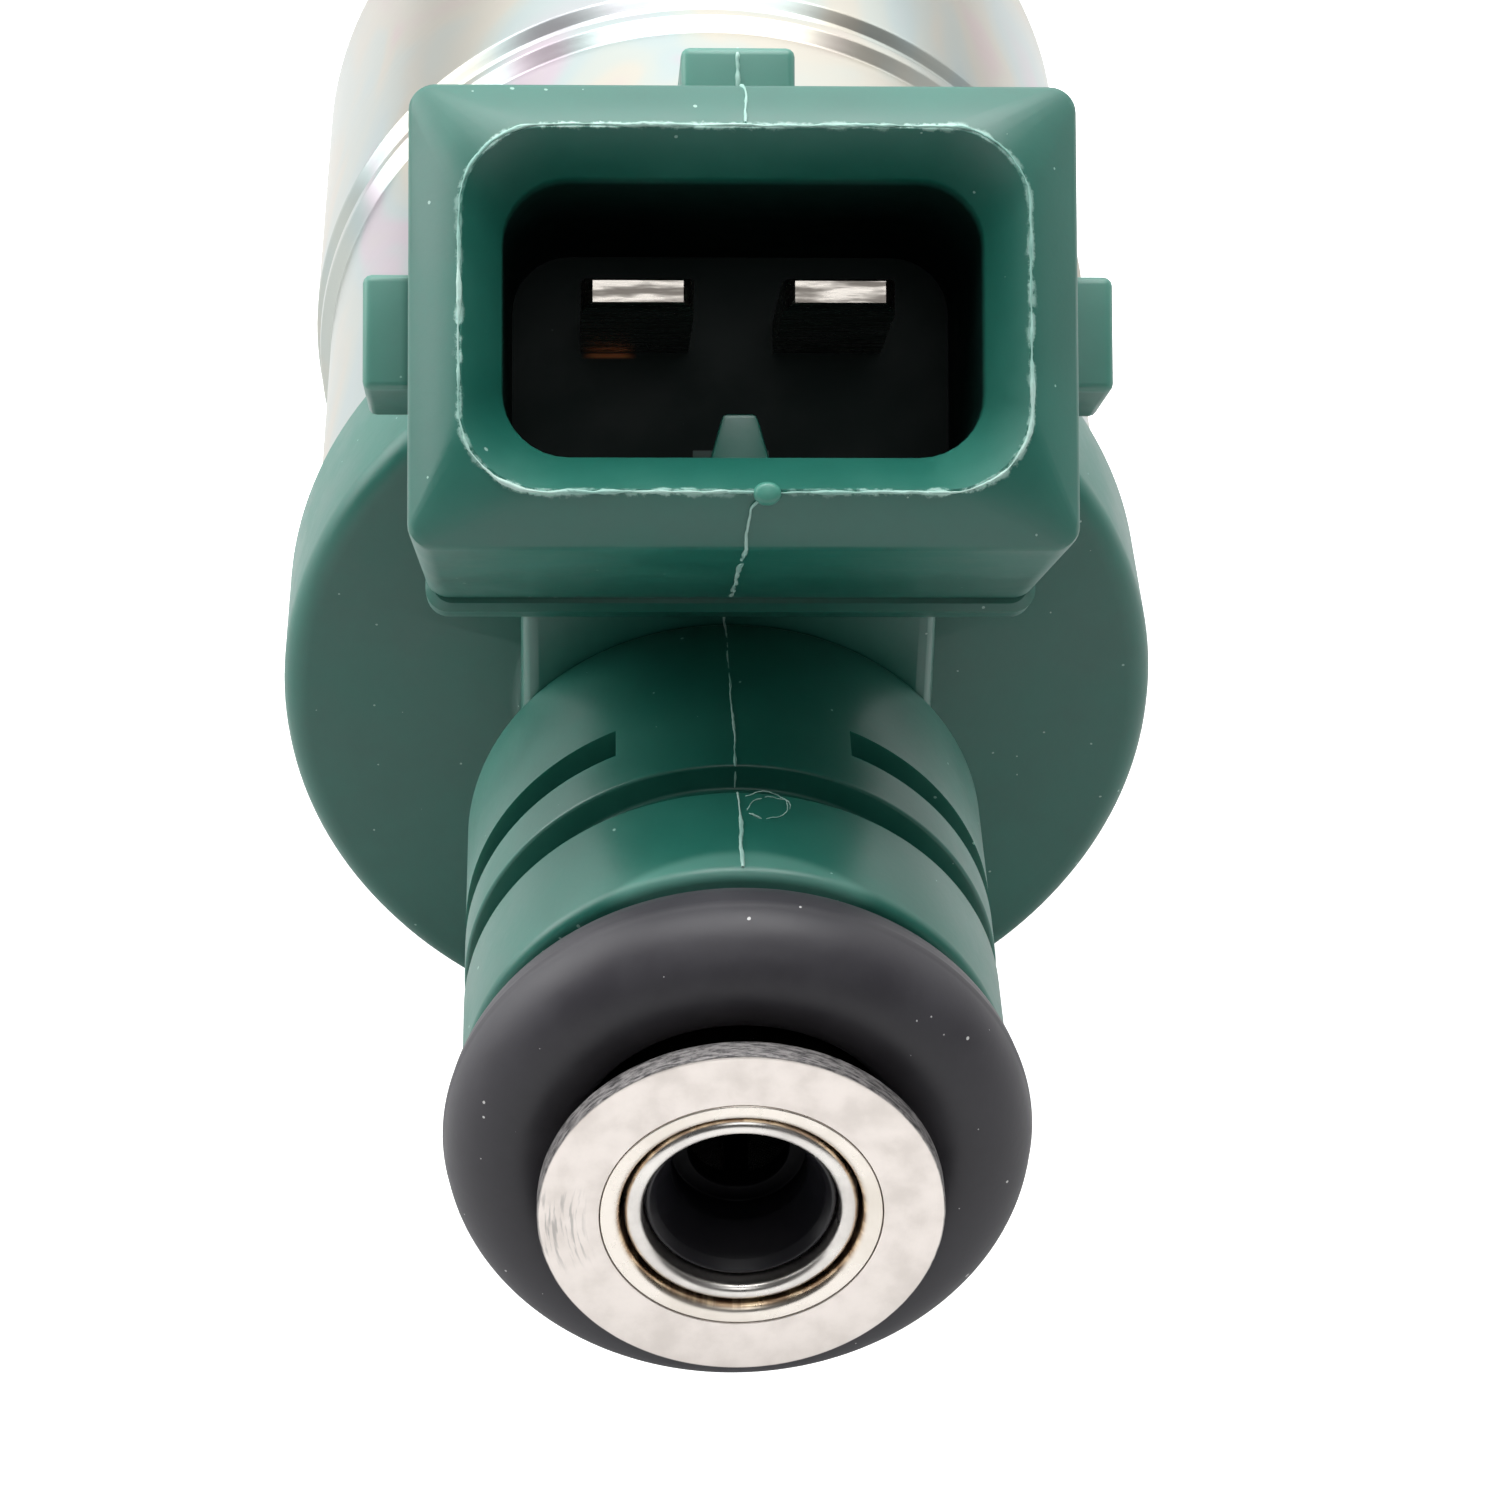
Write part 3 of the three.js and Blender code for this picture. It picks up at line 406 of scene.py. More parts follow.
# The rolled lip is painted straw brown, and its bright gold patches are painted glints.
lip = product(rise(place["Along"], 0.01, 0.12),
              fall(place["Radius"], inlet_bore + LIP_WIDTH, inlet_bore + LIP_WIDTH + 0.06))
tint_and_glint_patches = noise(product(place["Angle"], 3.2), "1D", Scale=1.6, Detail=4.0)
straw_and_glints = mix_colour(map_range(tint_and_glint_patches, 0.42, 0.62), (0.46, 0.32, 0.21), (0.86, 0.68, 0.47))
paint(shader, lip, straw_and_glints)
dress(tube, straw_steel, "stainless", "inlet_tube")

# ---------------------------------------------------------------------------------------------
# The flange ring is pressed on the tube's end and keeps the upper O-ring on. Its face is turned
# and scuffed on the left, and its edge is left rough where it was parted off the bar.

RING_FIT = 0.02
SCUFF_ANGLE = -1.65

ring_radius = radius_of("inlet_flange_ring")
rim_ring = hoop("inlet_ring_turned", spigot_radius + RING_FIT, ring_radius, ring_front, ring_back,
                (0.03, 0.09, 0.12, 0))
bright_steel = metal("bright_turned_steel", (0.84, 0.775, 0.73), (0.76, 0.7, 0.655), 0.36,
                     0.00006, 0.0000035, 0.0012)
tree, shader = insides(bright_steel)
place = place_group(tree, axis_place)
edge = rise(place["Radius"], ring_radius - 0.06, ring_radius - 0.01)
drawn_out = plane_place(product(place["Angle"], 9.0),
                        product(place["Along"], 9000.0))
grit = noise(drawn_out, Scale=1.4, Detail=7.0, Roughness=0.7)
pits = map_range(grit, 0.4, 0.62)
paint(shader, product(edge, 0.85), (0.2, 0.195, 0.2))
paint(shader, product(edge, pits), (0.07, 0.068, 0.07))
gloss = shader.inputs["Roughness"].links[0].from_socket
feed(math_node("ADD", gloss, product(edge, 0.2)), shader.inputs["Roughness"])
bump(shader, product(grit, edge), 1.0, 0.00004)
away = math_node("ABSOLUTE", math_node("SUBTRACT", place["Angle"], SCUFF_ANGLE))
scuff_zone = product(map_range(away, 0.12, 0.36, 1.0, 0.0),
                     rise(place["Radius"], 3.7, 4.1))
drawn_out = plane_place(product(place["Radius"], 9000.0),
                        product(place["Angle"], 4.0))
strokes = map_range(noise(drawn_out, "2D", Scale=1.0, Detail=3.0), 0.5, 0.68)
paint(shader, product(strokes, scuff_zone, 0.75), (0.42, 0.4, 0.385))
dress(rim_ring, bright_steel, "stainless", "inlet_flange_ring")

# ---------------------------------------------------------------------------------------------
# The filter is pressed into the inlet: a rolled steel sleeve with a bright lip, a moulded black
# basket inside it, and woven cloth round the basket's ribs.

SLEEVE_WALL = 0.46
BASKET_BORE = 1.7
RING_LENGTH = 2.7
RING_FLOOR = 0.6
CAP_LENGTH = 1.2
RIB_DEPTH = (1.25, 2.0)
RIB_WIDTH = 0.6
RIB_OVERLAP = 0.2
NEAR_AXIS = 0.001

sleeve_radius = radius_of("filter_sleeve")
sleeve = hoop("filter_sleeve_rolled", sleeve_radius - SLEEVE_WALL, sleeve_radius,
              *along("filter_sleeve"), (0.2, 0.3, 0.1, 0), 8)
rolled_steel = metal("rolled_sleeve_steel", (0.84, 0.81, 0.77), (0.66, 0.63, 0.6), 0.3,
                     0.00012, 0.000003)
dress(sleeve, rolled_steel, "stainless", "filter_sleeve", angle=50)


def plastic(name, colour, lighter, roughness, grain, depth, specular=0.5):
    """Moulded plastic: a deep colour in faint patches, with a fine spark-eroded grain."""
    material = two_tone(name, (colour, lighter), roughness, (0.9, 1.15), 0.0035, (0.3, 0.75),
                        specular=specular)
    tree, shader = insides(material)
    skin = noise(object_place(tree), Scale=1.0 / grain, Detail=3.0)
    bump(shader, skin, 0.35, depth)
    return material


black_plastic = plastic("black_moulding", (0.012, 0.012, 0.014), (0.022, 0.022, 0.025), 0.38,
                        0.00018, 0.000012)
basket_front, basket_back = along("filter_basket")
basket_plastic = plastic("basket_moulding", (0.01, 0.01, 0.013), (0.018, 0.017, 0.021), 0.34,
                         0.00018, 0.000006)
tree, shader = insides(basket_plastic)
place = place_group(tree, axis_place)
# Painted shade: the basket's bore is painted near black and loses its gloss deeper in, where little
# light reaches.
painted_deep_shade = rise(place["Along"], basket_front + 0.9, basket_front + 2.2)
paint(shader, painted_deep_shade, (0.002, 0.002, 0.003))
feed(map_range(painted_deep_shade, 0, 1, 0.4, 0.06), shader.inputs["Specular IOR Level"])
basket_radius = radius_of("filter_basket")
ring_end = basket_front + RING_LENGTH
basket = turned("filter_basket_moulding", [
    (BASKET_BORE, basket_front + 1.35, 0.15),
    (2.08, basket_front + 0.3, 0.06),
    (basket_radius - 0.09, basket_front, 0.08),
    (basket_radius, basket_front + 0.15, 0.05),
    (basket_radius, ring_end, 0.05),
    (RIB_DEPTH[0], ring_end, 0.05),
    (RIB_DEPTH[0], ring_end - RING_FLOOR, 0.05),
    (BASKET_BORE, ring_end - RING_FLOOR, 0.05),
], 4)
basket_end = hoop("filter_basket_end", NEAR_AXIS, basket_radius, basket_back - CAP_LENGTH,
                  basket_back, (0, 0.08, 0.3, 0), 4)


def evaluated_mesh(piece):
    """An object's mesh as its modifiers leave it."""
    evaluated = piece.evaluated_get(bpy.context.evaluated_depsgraph_get())
    return bpy.data.meshes.new_from_object(evaluated)


def apply_modifiers(piece):
    """Turns an object's modifiers into its plain mesh."""
    mesh = evaluated_mesh(piece)
    piece.modifiers.clear()
    piece.data = mesh


def combine(base, others, operation):
    """Joins solids to a base or cuts them from it, and removes them."""
    for other in others:
        step = base.modifiers.new("combine", "BOOLEAN")
        step.operation = operation
        step.solver = "EXACT"
        step.object = other
        apply_modifiers(base)
        bpy.data.objects.remove(other)


def new_tree(name, **inputs):
    """An empty Geometry Nodes tree with named inputs; returns it with its ends."""
    tree = bpy.data.node_groups.new(name, "GeometryNodeTree")
    tree.is_modifier = True
    for title, kind in inputs.items():
        tree.interface.new_socket(title, in_out="INPUT", socket_type="NodeSocket" + kind)
    tree.interface.new_socket("Geometry", in_out="OUTPUT", socket_type="NodeSocketGeometry")
    return tree, *group_ends(tree)


def finish_tree(tree, start, end, geometry):
    """Ends a tree in Realize Instances and Set Material."""
    real = add(tree, "GeometryNodeRealizeInstances", {"Geometry": geometry}).outputs[0]
    inputs = {"Geometry": real, "Material": start["Material"]}
    feed(add(tree, "GeometryNodeSetMaterial", inputs).outputs[0], end["Geometry"])


def grown(name, tree, base, **inputs):
    """Runs a Geometry Nodes tree on an object and returns its plain mesh object."""
    modifier = base.modifiers.new("grow", "NODES")
    modifier.node_group = tree
    for socket in tree.interface.items_tree:
        if socket.in_out == "INPUT" and socket.name in inputs:
            modifier[socket.identifier] = inputs[socket.name]
    piece = link(bpy.data.objects.new(name, evaluated_mesh(base)))
    bpy.data.objects.remove(base)
    return piece


def build_rib_ring():
    """Bars along the axis, spaced evenly round it."""
    tree, start, end = new_tree("rib_ring", Count="Int", Radius="Float", Size="Vector",
                                Middle="Float", Material="Material")
    circle = add(tree, "GeometryNodeMeshCircle", {
        "Vertices": start["Count"], "Radius": start["Radius"]})
    bar = add(tree, "GeometryNodeMeshCube", {"Size": start["Size"]})
    place = tree.nodes.new("GeometryNodeInputPosition").outputs[0]
    facing = add(tree, "FunctionNodeAlignEulerToVector", {"Vector": place},
                 axis="X", pivot_axis="Z")
    ribs = add(tree, "GeometryNodeInstanceOnPoints", {
        "Points": circle.outputs["Mesh"], "Instance": bar.outputs["Mesh"],
        "Rotation": facing.outputs[0]})
    laid = add(tree, "GeometryNodeTransform", {
        "Geometry": ribs.outputs[0], "Rotation": (-math.pi / 2, 0, 0),
        "Translation": plane_place(0.0, start["Middle"])})
    finish_tree(tree, start, end, laid.outputs[0])
    return tree


rib_front = ring_end - RIB_OVERLAP
rib_back = basket_back - CAP_LENGTH + RIB_OVERLAP
ground = link(bpy.data.objects.new("ground", bpy.data.meshes.new("ground")))
ribs = grown("filter_basket_ribs", build_rib_ring(), ground, Count=4, Material=basket_plastic,
             Radius=(RIB_DEPTH[0] + RIB_DEPTH[1]) / 2 * MM, Middle=(rib_front + rib_back) / 2 * MM,
             Size=((RIB_DEPTH[1] - RIB_DEPTH[0]) * MM, RIB_WIDTH * MM, (rib_back - rib_front) * MM))
combine(basket, [basket_end, ribs], "UNION")
dress(basket, basket_plastic, "black_plastic", "filter_basket", angle=50)


def finish_nodes(material, *nodes):
    """Gives CAD nodes that stay as they are their material."""
    for node in nodes:
        finish(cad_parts[node], material, 28)


filter_cloth = new_material("filter_cloth", 0.7)
tree, shader = insides(filter_cloth)
place = place_group(tree, axis_place)
warp = math_node("SINE", product(place["Angle"], 140.0))
weft = math_node("SINE", product(place["Along"], 60000.0))
weave = product(warp, weft)
cloth = mix_colour(map_range(weave, -1, 1), (0.02, 0.02, 0.018), (0.05, 0.048, 0.043))
feed(cloth, shader.inputs["Base Color"])
bump(shader, weave, 0.6, 0.00002)
finish_nodes(filter_cloth, "filter_mesh")

# ---------------------------------------------------------------------------------------------
# The adjusting sleeve is a rolled spring-steel tube pressed down the core until the return
# spring behind it has the right load.

spring_steel = metal("drawn_spring_steel", (0.5, 0.5, 0.51), (0.36, 0.36, 0.38), 0.3,
                     0.0002, 0.000003)
finish_nodes(spring_steel, "adjusting_sleeve", "return_spring")

# ---------------------------------------------------------------------------------------------
# The coil is enamelled copper wire on a tan moulded bobbin, with rubber seal rings at each end
# that keep fuel out of it.

bobbin_plastic = plastic("bobbin_moulding", (0.3, 0.2, 0.1), (0.38, 0.26, 0.14), 0.45,
                         0.0002, 0.00001)
finish_nodes(bobbin_plastic, "coil_bobbin")
copper_wire = new_material("enamelled_copper", 0.3, metallic=1.0)
tree, shader = insides(copper_wire)
place = place_group(tree, axis_place)
turns = math_node("SINE", product(place["Along"], 26000.0))
wire = mix_colour(map_range(turns, -1, 1), (0.22, 0.06, 0.02), (0.75, 0.3, 0.12))
feed(wire, shader.inputs["Base Color"])
bump(shader, turns, 0.9, 0.00006)
finish_nodes(copper_wire, "coil_winding")

seal_rubber = two_tone("seal_rubber", ((0.033, 0.031, 0.037), (0.045, 0.043, 0.05)), 0.48,
                       (0.92, 1.1), 0.0025, (0.3, 0.7), specular=0.4)
tree, shader = insides(seal_rubber)
dust = place_group(tree, specks, Spacing=0.00065, Grain=0.09, Share=0.8)["Mask"]
paint(shader, product(dust, 0.8), (0.7, 0.69, 0.68))
bump(shader, noise(object_place(tree), Scale=4500.0, Detail=4.0), 0.3, 0.000012)
finish_nodes(seal_rubber, "core_seal_ring", "bobbin_seal_ring", "body_seal_ring")

# ---------------------------------------------------------------------------------------------
# The housing is one green glass-filled moulding, shot round the inlet tube and the coil: a neck
# with a clip groove and two side slots, a thick disc, an arm, and the two-way connector, which
# leans back over the inlet. Every edge keeps the small radius of its mould.

TILT = math.radians(40.4)
OUT = Vector((0, -math.cos(TILT), math.sin(TILT)))
UP = Vector((0, math.sin(TILT), math.cos(TILT)))
ACROSS = Vector((1, 0, 0))
CONNECTOR_RISE = 11.99
CONNECTOR_FOOT = 1.6
NECK_RADIUS = 6.9
NECK_BACK = 15.8
GROOVE_FRONT, GROOVE_BACK, GROOVE_DEPTH = 8.17, 9.33, 0.75
SLOT_FRONT, SLOT_BACK, SLOT_DEPTH = 10.7, 11.8, 0.9
SLOT_START = 3.0
STEM_HALF = 5.45
DISC_THICKNESS = 4.9
CAN_RADIUS = 11.5
CAN_ROOM = CAN_RADIUS + PRESS_GAP
SEAL_ROOM = 1.66
SHROUD_WIDTH, SHROUD_HEIGHT = 8.08, 5.67
SHROUD_DEPTH = 11.0
RIM_WIDTH, RIM_HEIGHT = 6.835, 4.427
RIM_CORNER = 2.0
RIM_PROUD = 1.1
SOCKET_WIDTH, SOCKET_HEIGHT = 5.82, 3.4
SOCKET_MOUTH = -0.155
SOCKET_FLOOR = -9.6
LEDGE_DROP = 3.12
KEY_FOOT, KEY_TOP = -3.8, -1.9
KEY_HALF, KEY_TOP_HALF = 0.95, 0.42
KEY_REAR, KEY_FRONT = -10.0, -3.0
NUB_REAR, NUB_FRONT = -7.6, -3.4
NUB_RISE = 0.2
NUB_HALF = 1.45
SIDE_NUB_REACH = 4.3
TOP_NUB_HALF = 1.42
TOP_NUB_REACH = 1.73
NUB_ROUNDING = 0.22
BLADE_HALF = (1.4, 0.4)
WELD = 0.12

neck_front, disc_back = along("housing")
disc_front = disc_back - DISC_THICKNESS
disc_radius = radius_of("housing")
neck_bore = seat_radius + PRESS_GAP
can_mouth = along("solenoid_can")[0]
seal_seat = seat_radius + SEAL_ROOM
seal_shelf = can_mouth - SEAL_ROOM
groove_floor = NECK_RADIUS - GROOVE_DEPTH
tail_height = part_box("terminal_blade_left")[0].z / MM + BLADE_HALF[1]
shroud_height = NECK_RADIUS + CONNECTOR_RISE
shroud_place = disc_front + CONNECTOR_FOOT - (shroud_height - tail_height) / math.tan(TILT)
SHROUD_CENTRE = Vector((0, shroud_place, shroud_height))


def leaning(vertices):
    """Moves points from the connector's own frame (across, up, out) to the injector's."""
    return [ACROSS * u + SHROUD_CENTRE + UP * v + OUT * w for u, v, w in vertices]


def rounded_ring(half_width, half_height, corner, steps=8):
    """A rectangle's outline with round corners, as points across and up."""
    points = []
    for sx, sy, start in ((1, 1, 0), (-1, 1, 90), (-1, -1, 180), (1, -1, 270)):
        for i in range(steps + 1):
            angle = math.radians(start + 90 * i / steps)
            points.append((sx * (half_width - corner) + corner * math.cos(angle),
                           sy * (half_height - corner) + corner * math.sin(angle)))
    return points


def lofted(name, rings):
    """A closed solid through rings of [x, y, z] points, each with as many."""
    count = len(rings[0])
    vertices = [v for ring in rings for v in ring]
    faces = [tuple(reversed(range(count)))]
    for r in range(len(rings) - 1):
        for i in range(count):
            a, b = r * count + i, r * count + (i + 1) % count
            faces.append((a, b, b + count, a + count))
    faces.append(tuple(range((len(rings) - 1) * count, len(rings) * count)))
    return mesh_object(name, vertices, faces)


def connector_loft(name, sections):
    """A loft in the connector's frame from (out, half width, half height, corner) sections."""
    rings = [leaning([(x, y, w) for x, y in rounded_ring(hw, hh, c)]) for w, hw, hh, c in sections]
    return lofted(name, rings)


def round_edges(piece, width, steps=3):
    """Rounds a solid's edges with a bevel and applies it."""
    bevel = piece.modifiers.new("round", "BEVEL")
    bevel.width = width * MM
    bevel.segments = steps
    bevel.limit_method = "ANGLE"
    bevel.angle_limit = math.radians(35)
    apply_modifiers(piece)


housing = turned("housing_moulding", [
    (neck_bore, neck_front, 0.12),
    (NECK_RADIUS, neck_front, 0.3),
    (NECK_RADIUS, GROOVE_FRONT, 0.09),
    (groove_floor, GROOVE_FRONT, 0.1),
    (groove_floor, GROOVE_BACK, 0.1),
    (NECK_RADIUS, GROOVE_BACK, 0.09),
    (NECK_RADIUS, NECK_BACK, 0.2),
    (STEM_HALF, NECK_BACK, 0.2),
    (STEM_HALF, disc_front, 0.35),
    (disc_radius, disc_front, 0.7),
    (disc_radius, disc_back, 0.25),
    (CAN_ROOM, disc_back, 0.1),
    (CAN_ROOM, can_mouth, 0),
    (seal_seat, can_mouth, 0),
    (seal_seat, seal_shelf, 0),
    (neck_bore, seal_shelf, 0),
])
slots = hoop("slot_cutter", NECK_RADIUS - SLOT_DEPTH, NECK_RADIUS + 1, SLOT_FRONT, SLOT_BACK,
             (0.06, 0, 0, 0.06))
bridge_reach = NECK_RADIUS + 2
bridge = lofted("slot_bridge", [
    [(x, SLOT_FRONT - 1, -bridge_reach), (x, SLOT_BACK + 1, -bridge_reach),
     (x, SLOT_BACK + 1, bridge_reach), (x, SLOT_FRONT - 1, bridge_reach)]
    for x in (-SLOT_START, SLOT_START)
])
combine(slots, [bridge], "DIFFERENCE")

rear_top, rear_inside, rear_low = leaning([
    (0, SHROUD_HEIGHT - 0.5, -SHROUD_DEPTH + 0.5),
    (0, SHROUD_HEIGHT - 2, -SHROUD_DEPTH + 1.4),
    (0, -SHROUD_HEIGHT, -SHROUD_DEPTH),
])
stem_front = NECK_BACK - 0.03
stem_side = [
    (stem_front, 0),
    (disc_back - 1, 0),
    (disc_back - 1, disc_radius - 0.65),
    (rear_top.y, rear_top.z),
    (rear_inside.y, rear_inside.z),
    (stem_front, rear_low.z + 0.8),
]
stem = lofted("stem", [[(x, y, z) for y, z in stem_side] for x in (-STEM_HALF, STEM_HALF)])
round_edges(stem, 0.45)

shroud = connector_loft("shroud", [
    (-SHROUD_DEPTH, SHROUD_WIDTH - 0.55, SHROUD_HEIGHT - 0.35, 0.5),
    (-SHROUD_DEPTH + 0.1, SHROUD_WIDTH - 0.33, SHROUD_HEIGHT - 0.12, 0.6),
    (-SHROUD_DEPTH + 0.35, SHROUD_WIDTH - 0.2, SHROUD_HEIGHT, 0.62),
    (-0.22, SHROUD_WIDTH, SHROUD_HEIGHT, 0.62),
    (-0.08, SHROUD_WIDTH - 0.02, SHROUD_HEIGHT - 0.02, 0.63),
    (0.06, SHROUD_WIDTH - 0.1, SHROUD_HEIGHT - 0.1, 0.7),
    (RIM_PROUD - 0.05, RIM_WIDTH + 0.06, RIM_HEIGHT + 0.06, RIM_CORNER),
    (RIM_PROUD, RIM_WIDTH - 0.05, RIM_HEIGHT - 0.05, RIM_CORNER - 0.05),
])
ledge = connector_loft("ledge", [
    (-SHROUD_DEPTH, 7.7, 2.7, 0.5),
    (-SHROUD_DEPTH + 0.2, 7.9, 2.9, 0.6),
    (-SHROUD_DEPTH + 1.3, 7.9, 2.9, 0.6),
    (-SHROUD_DEPTH + 1.5, 7.7, 2.7, 0.5),
])
ledge.data.transform(Matrix.Translation(UP * (-LEDGE_DROP * MM)))
socket = connector_loft("socket", [
    (SOCKET_FLOOR, SOCKET_WIDTH - 0.15, SOCKET_HEIGHT - 0.15, 1.5),
    (SOCKET_MOUTH - 0.12, SOCKET_WIDTH, SOCKET_HEIGHT, 1.6),
    (SOCKET_MOUTH + 0.02, SOCKET_WIDTH + 0.04, SOCKET_HEIGHT + 0.04, 1.62),
    (RIM_PROUD + 0.02, RIM_WIDTH - 0.05, RIM_HEIGHT - 0.05, RIM_CORNER),
    (RIM_PROUD + 0.3, RIM_WIDTH + 0.2, RIM_HEIGHT + 0.2, RIM_CORNER + 0.1),
])


def connector_bar(name, across, up):
    """A nub between two places across and two up in the connector's frame, with round edges."""
    corners = [(up[0], NUB_REAR), (up[1], NUB_REAR), (up[1], NUB_FRONT), (up[0], NUB_FRONT)]
    piece = lofted(name, [leaning([(x, y, z) for y, z in corners]) for x in across])
    round_edges(piece, NUB_ROUNDING)
    return piece


side_reach = ring_radius + SIDE_NUB_REACH
side_rise = (NUB_RISE - NUB_HALF, NUB_RISE + NUB_HALF)
nub_top = SHROUD_HEIGHT + TOP_NUB_REACH
nubs = [
    connector_bar("nub_left", (-side_reach, -7), side_rise),
    connector_bar("nub_right", (7, side_reach), side_rise),
    connector_bar("nub_top", (-TOP_NUB_HALF, TOP_NUB_HALF), (4.6, nub_top)),
]
key = lofted("key_rib", [
    leaning([(-KEY_HALF, KEY_FOOT, w), (KEY_HALF, KEY_FOOT, w),
             (KEY_TOP_HALF, KEY_TOP, w), (-KEY_TOP_HALF, KEY_TOP, w)])
    for w in (KEY_REAR, KEY_FRONT)
])
round_edges(key, 0.12, 2)

core_room = turned("core_room", [
    (NEAR_AXIS, neck_front - 1, 0),
    (neck_bore + WELD, neck_front - 1, 0),
    (neck_bore + WELD, seal_shelf - WELD, 0),
    (seal_seat + WELD, seal_shelf - WELD, 0),
    (seal_seat + WELD, can_mouth - WELD, 0),
    (CAN_ROOM + WELD, can_mouth - WELD, 0),
    (CAN_ROOM + WELD, disc_back + 1, 0),
    (NEAR_AXIS, disc_back + 1, 0),
])
combine(stem, [core_room], "DIFFERENCE")
combine(shroud, [ledge, *nubs], "UNION")
combine(shroud, [socket], "DIFFERENCE")
combine(shroud, [key], "UNION")
combine(housing, [slots], "DIFFERENCE")
combine(housing, [stem, shroud], "UNION")

green_plastic = plastic("green_moulding", (0.008, 0.11, 0.081), (0.012, 0.135, 0.1), 0.4,
                        0.00022, 0.00001, 0.66)
tree, shader = insides(green_plastic)
shader.inputs["Subsurface Weight"].default_value = 0.2
shader.inputs["Subsurface Radius"].default_value = (0.25, 1.0, 0.7)
shader.inputs["Subsurface Scale"].default_value = 0.0007
dust = place_group(tree, specks, Spacing=0.0007, Grain=0.075, Share=0.8)["Mask"]
paint(shader, product(dust, 0.6), (0.4, 0.62, 0.55))


def toward(direction, origin=SHROUD_CENTRE):
    """How far a point of the moulding is along a direction, in metres from an origin."""
    offset = add(tree, "ShaderNodeVectorMath", {0: object_place(tree), 1: origin * MM},
                 operation="SUBTRACT")
    reach = add(tree, "ShaderNodeVectorMath", {0: offset.outputs[0], 1: direction},
                operation="DOT_PRODUCT")
    return reach.outputs["Value"]


across = math_node("ABSOLUTE", toward(ACROSS))
upward = toward(UP)
height = math_node("ABSOLUTE", upward)
outward = toward(OUT)
# Painted shade: the socket's inside is painted near black and loses its gloss, less so on the key
# rib, where light hardly reaches.
in_socket = product(
    fall(across, SOCKET_WIDTH + 0.04, SOCKET_WIDTH + 0.08),
    fall(height, SOCKET_HEIGHT + 0.04, SOCKET_HEIGHT + 0.08),
    fall(outward, -1.1, -0.15),
    rise(outward, SOCKET_FLOOR - 0.2, SOCKET_FLOOR - 0.1),
)
on_key = product(
    fall(across, KEY_HALF + 0.01, KEY_HALF + 0.05),
    rise(upward, -3.37, -3.3),
    fall(upward, KEY_TOP + 0.05, KEY_TOP + 0.1),
)
painted_socket_shade = product(in_socket, math_node("SUBTRACT", 0.93, product(on_key, 0.85)))
paint(shader, painted_socket_shade, (0.004, 0.009, 0.009))
feed(map_range(painted_socket_shade, 0.35, 0.93, 0.66, 0.1), shader.inputs["Specular IOR Level"])

beyond_corner = []
for reach, half in ((across, RIM_WIDTH), (height, RIM_HEIGHT)):
    past = math_node("SUBTRACT", reach, (half - RIM_CORNER) * MM)
    beyond_corner.append(math_node("POWER", math_node("MAXIMUM", past, 0.0), 2.0))
from_corner = math_node("SQRT", math_node("ADD", *beyond_corner))
from_rim = math_node("ABSOLUTE", math_node("SUBTRACT", from_corner, RIM_CORNER * MM))
near_rim = product(fall(from_rim, 0.02, 0.2), rise(outward, 0.7, 0.95))
place = object_place(tree)
ragged = noise(place, Scale=1900.0, Detail=6.0, Roughness=0.7)
patchy = noise(place, Scale=300.0, Detail=2.0)
ragged = math_node("ADD", ragged, product(near_rim, 0.22))
torn = map_range(ragged, 0.62, 0.76)
worn = product(torn, near_rim, map_range(patchy, 0.35, 0.6, 0.35, 1.0))
paint(shader, worn, (0.4, 0.62, 0.56))

# Painted light: the nubs' front ends are painted a paler green, standing in for light falling on
# them.
on_nub = math_node("MAXIMUM",
                   rise(across, SHROUD_WIDTH + 0.05, SHROUD_WIDTH + 0.3),
                   rise(height, SHROUD_HEIGHT + 0.05, SHROUD_HEIGHT + 0.3))
painted_nub_light = product(on_nub, rise(outward, NUB_FRONT - 0.35, NUB_FRONT - 0.05), 0.3)
paint(shader, painted_nub_light, (0.2, 0.45, 0.38))
# Painted glint: a short orange line on the socket floor at the left blade's root, standing in for a
# glint of light there.
left_root = toward(ACROSS, SHROUD_CENTRE + Vector((-3.15, 0, 0)))
root_line = math_node("SUBTRACT", upward, 0.66 * MM)
painted_orange_glint = product(
    fall(math_node("ABSOLUTE", left_root), 0.3, 0.75),
    fall(math_node("ABSOLUTE", root_line), 0.01, 0.1),
    math_node("LESS_THAN", outward, -9.0 * MM),
)
paint(shader, painted_orange_glint, (0.9, 0.3, 0.1))
dress(housing, green_plastic, "green_plastic", "housing", angle=30)

# ---------------------------------------------------------------------------------------------
# Where the halves of the mould meet, the moulding keeps a ragged thread of pale flash: round the
# connector's mouth, and down the middle of the top nub, the shroud, the arm and the neck. A
# loose hair of it clings to the neck, and a small stump just right of the middle is where the
# plastic was let in.


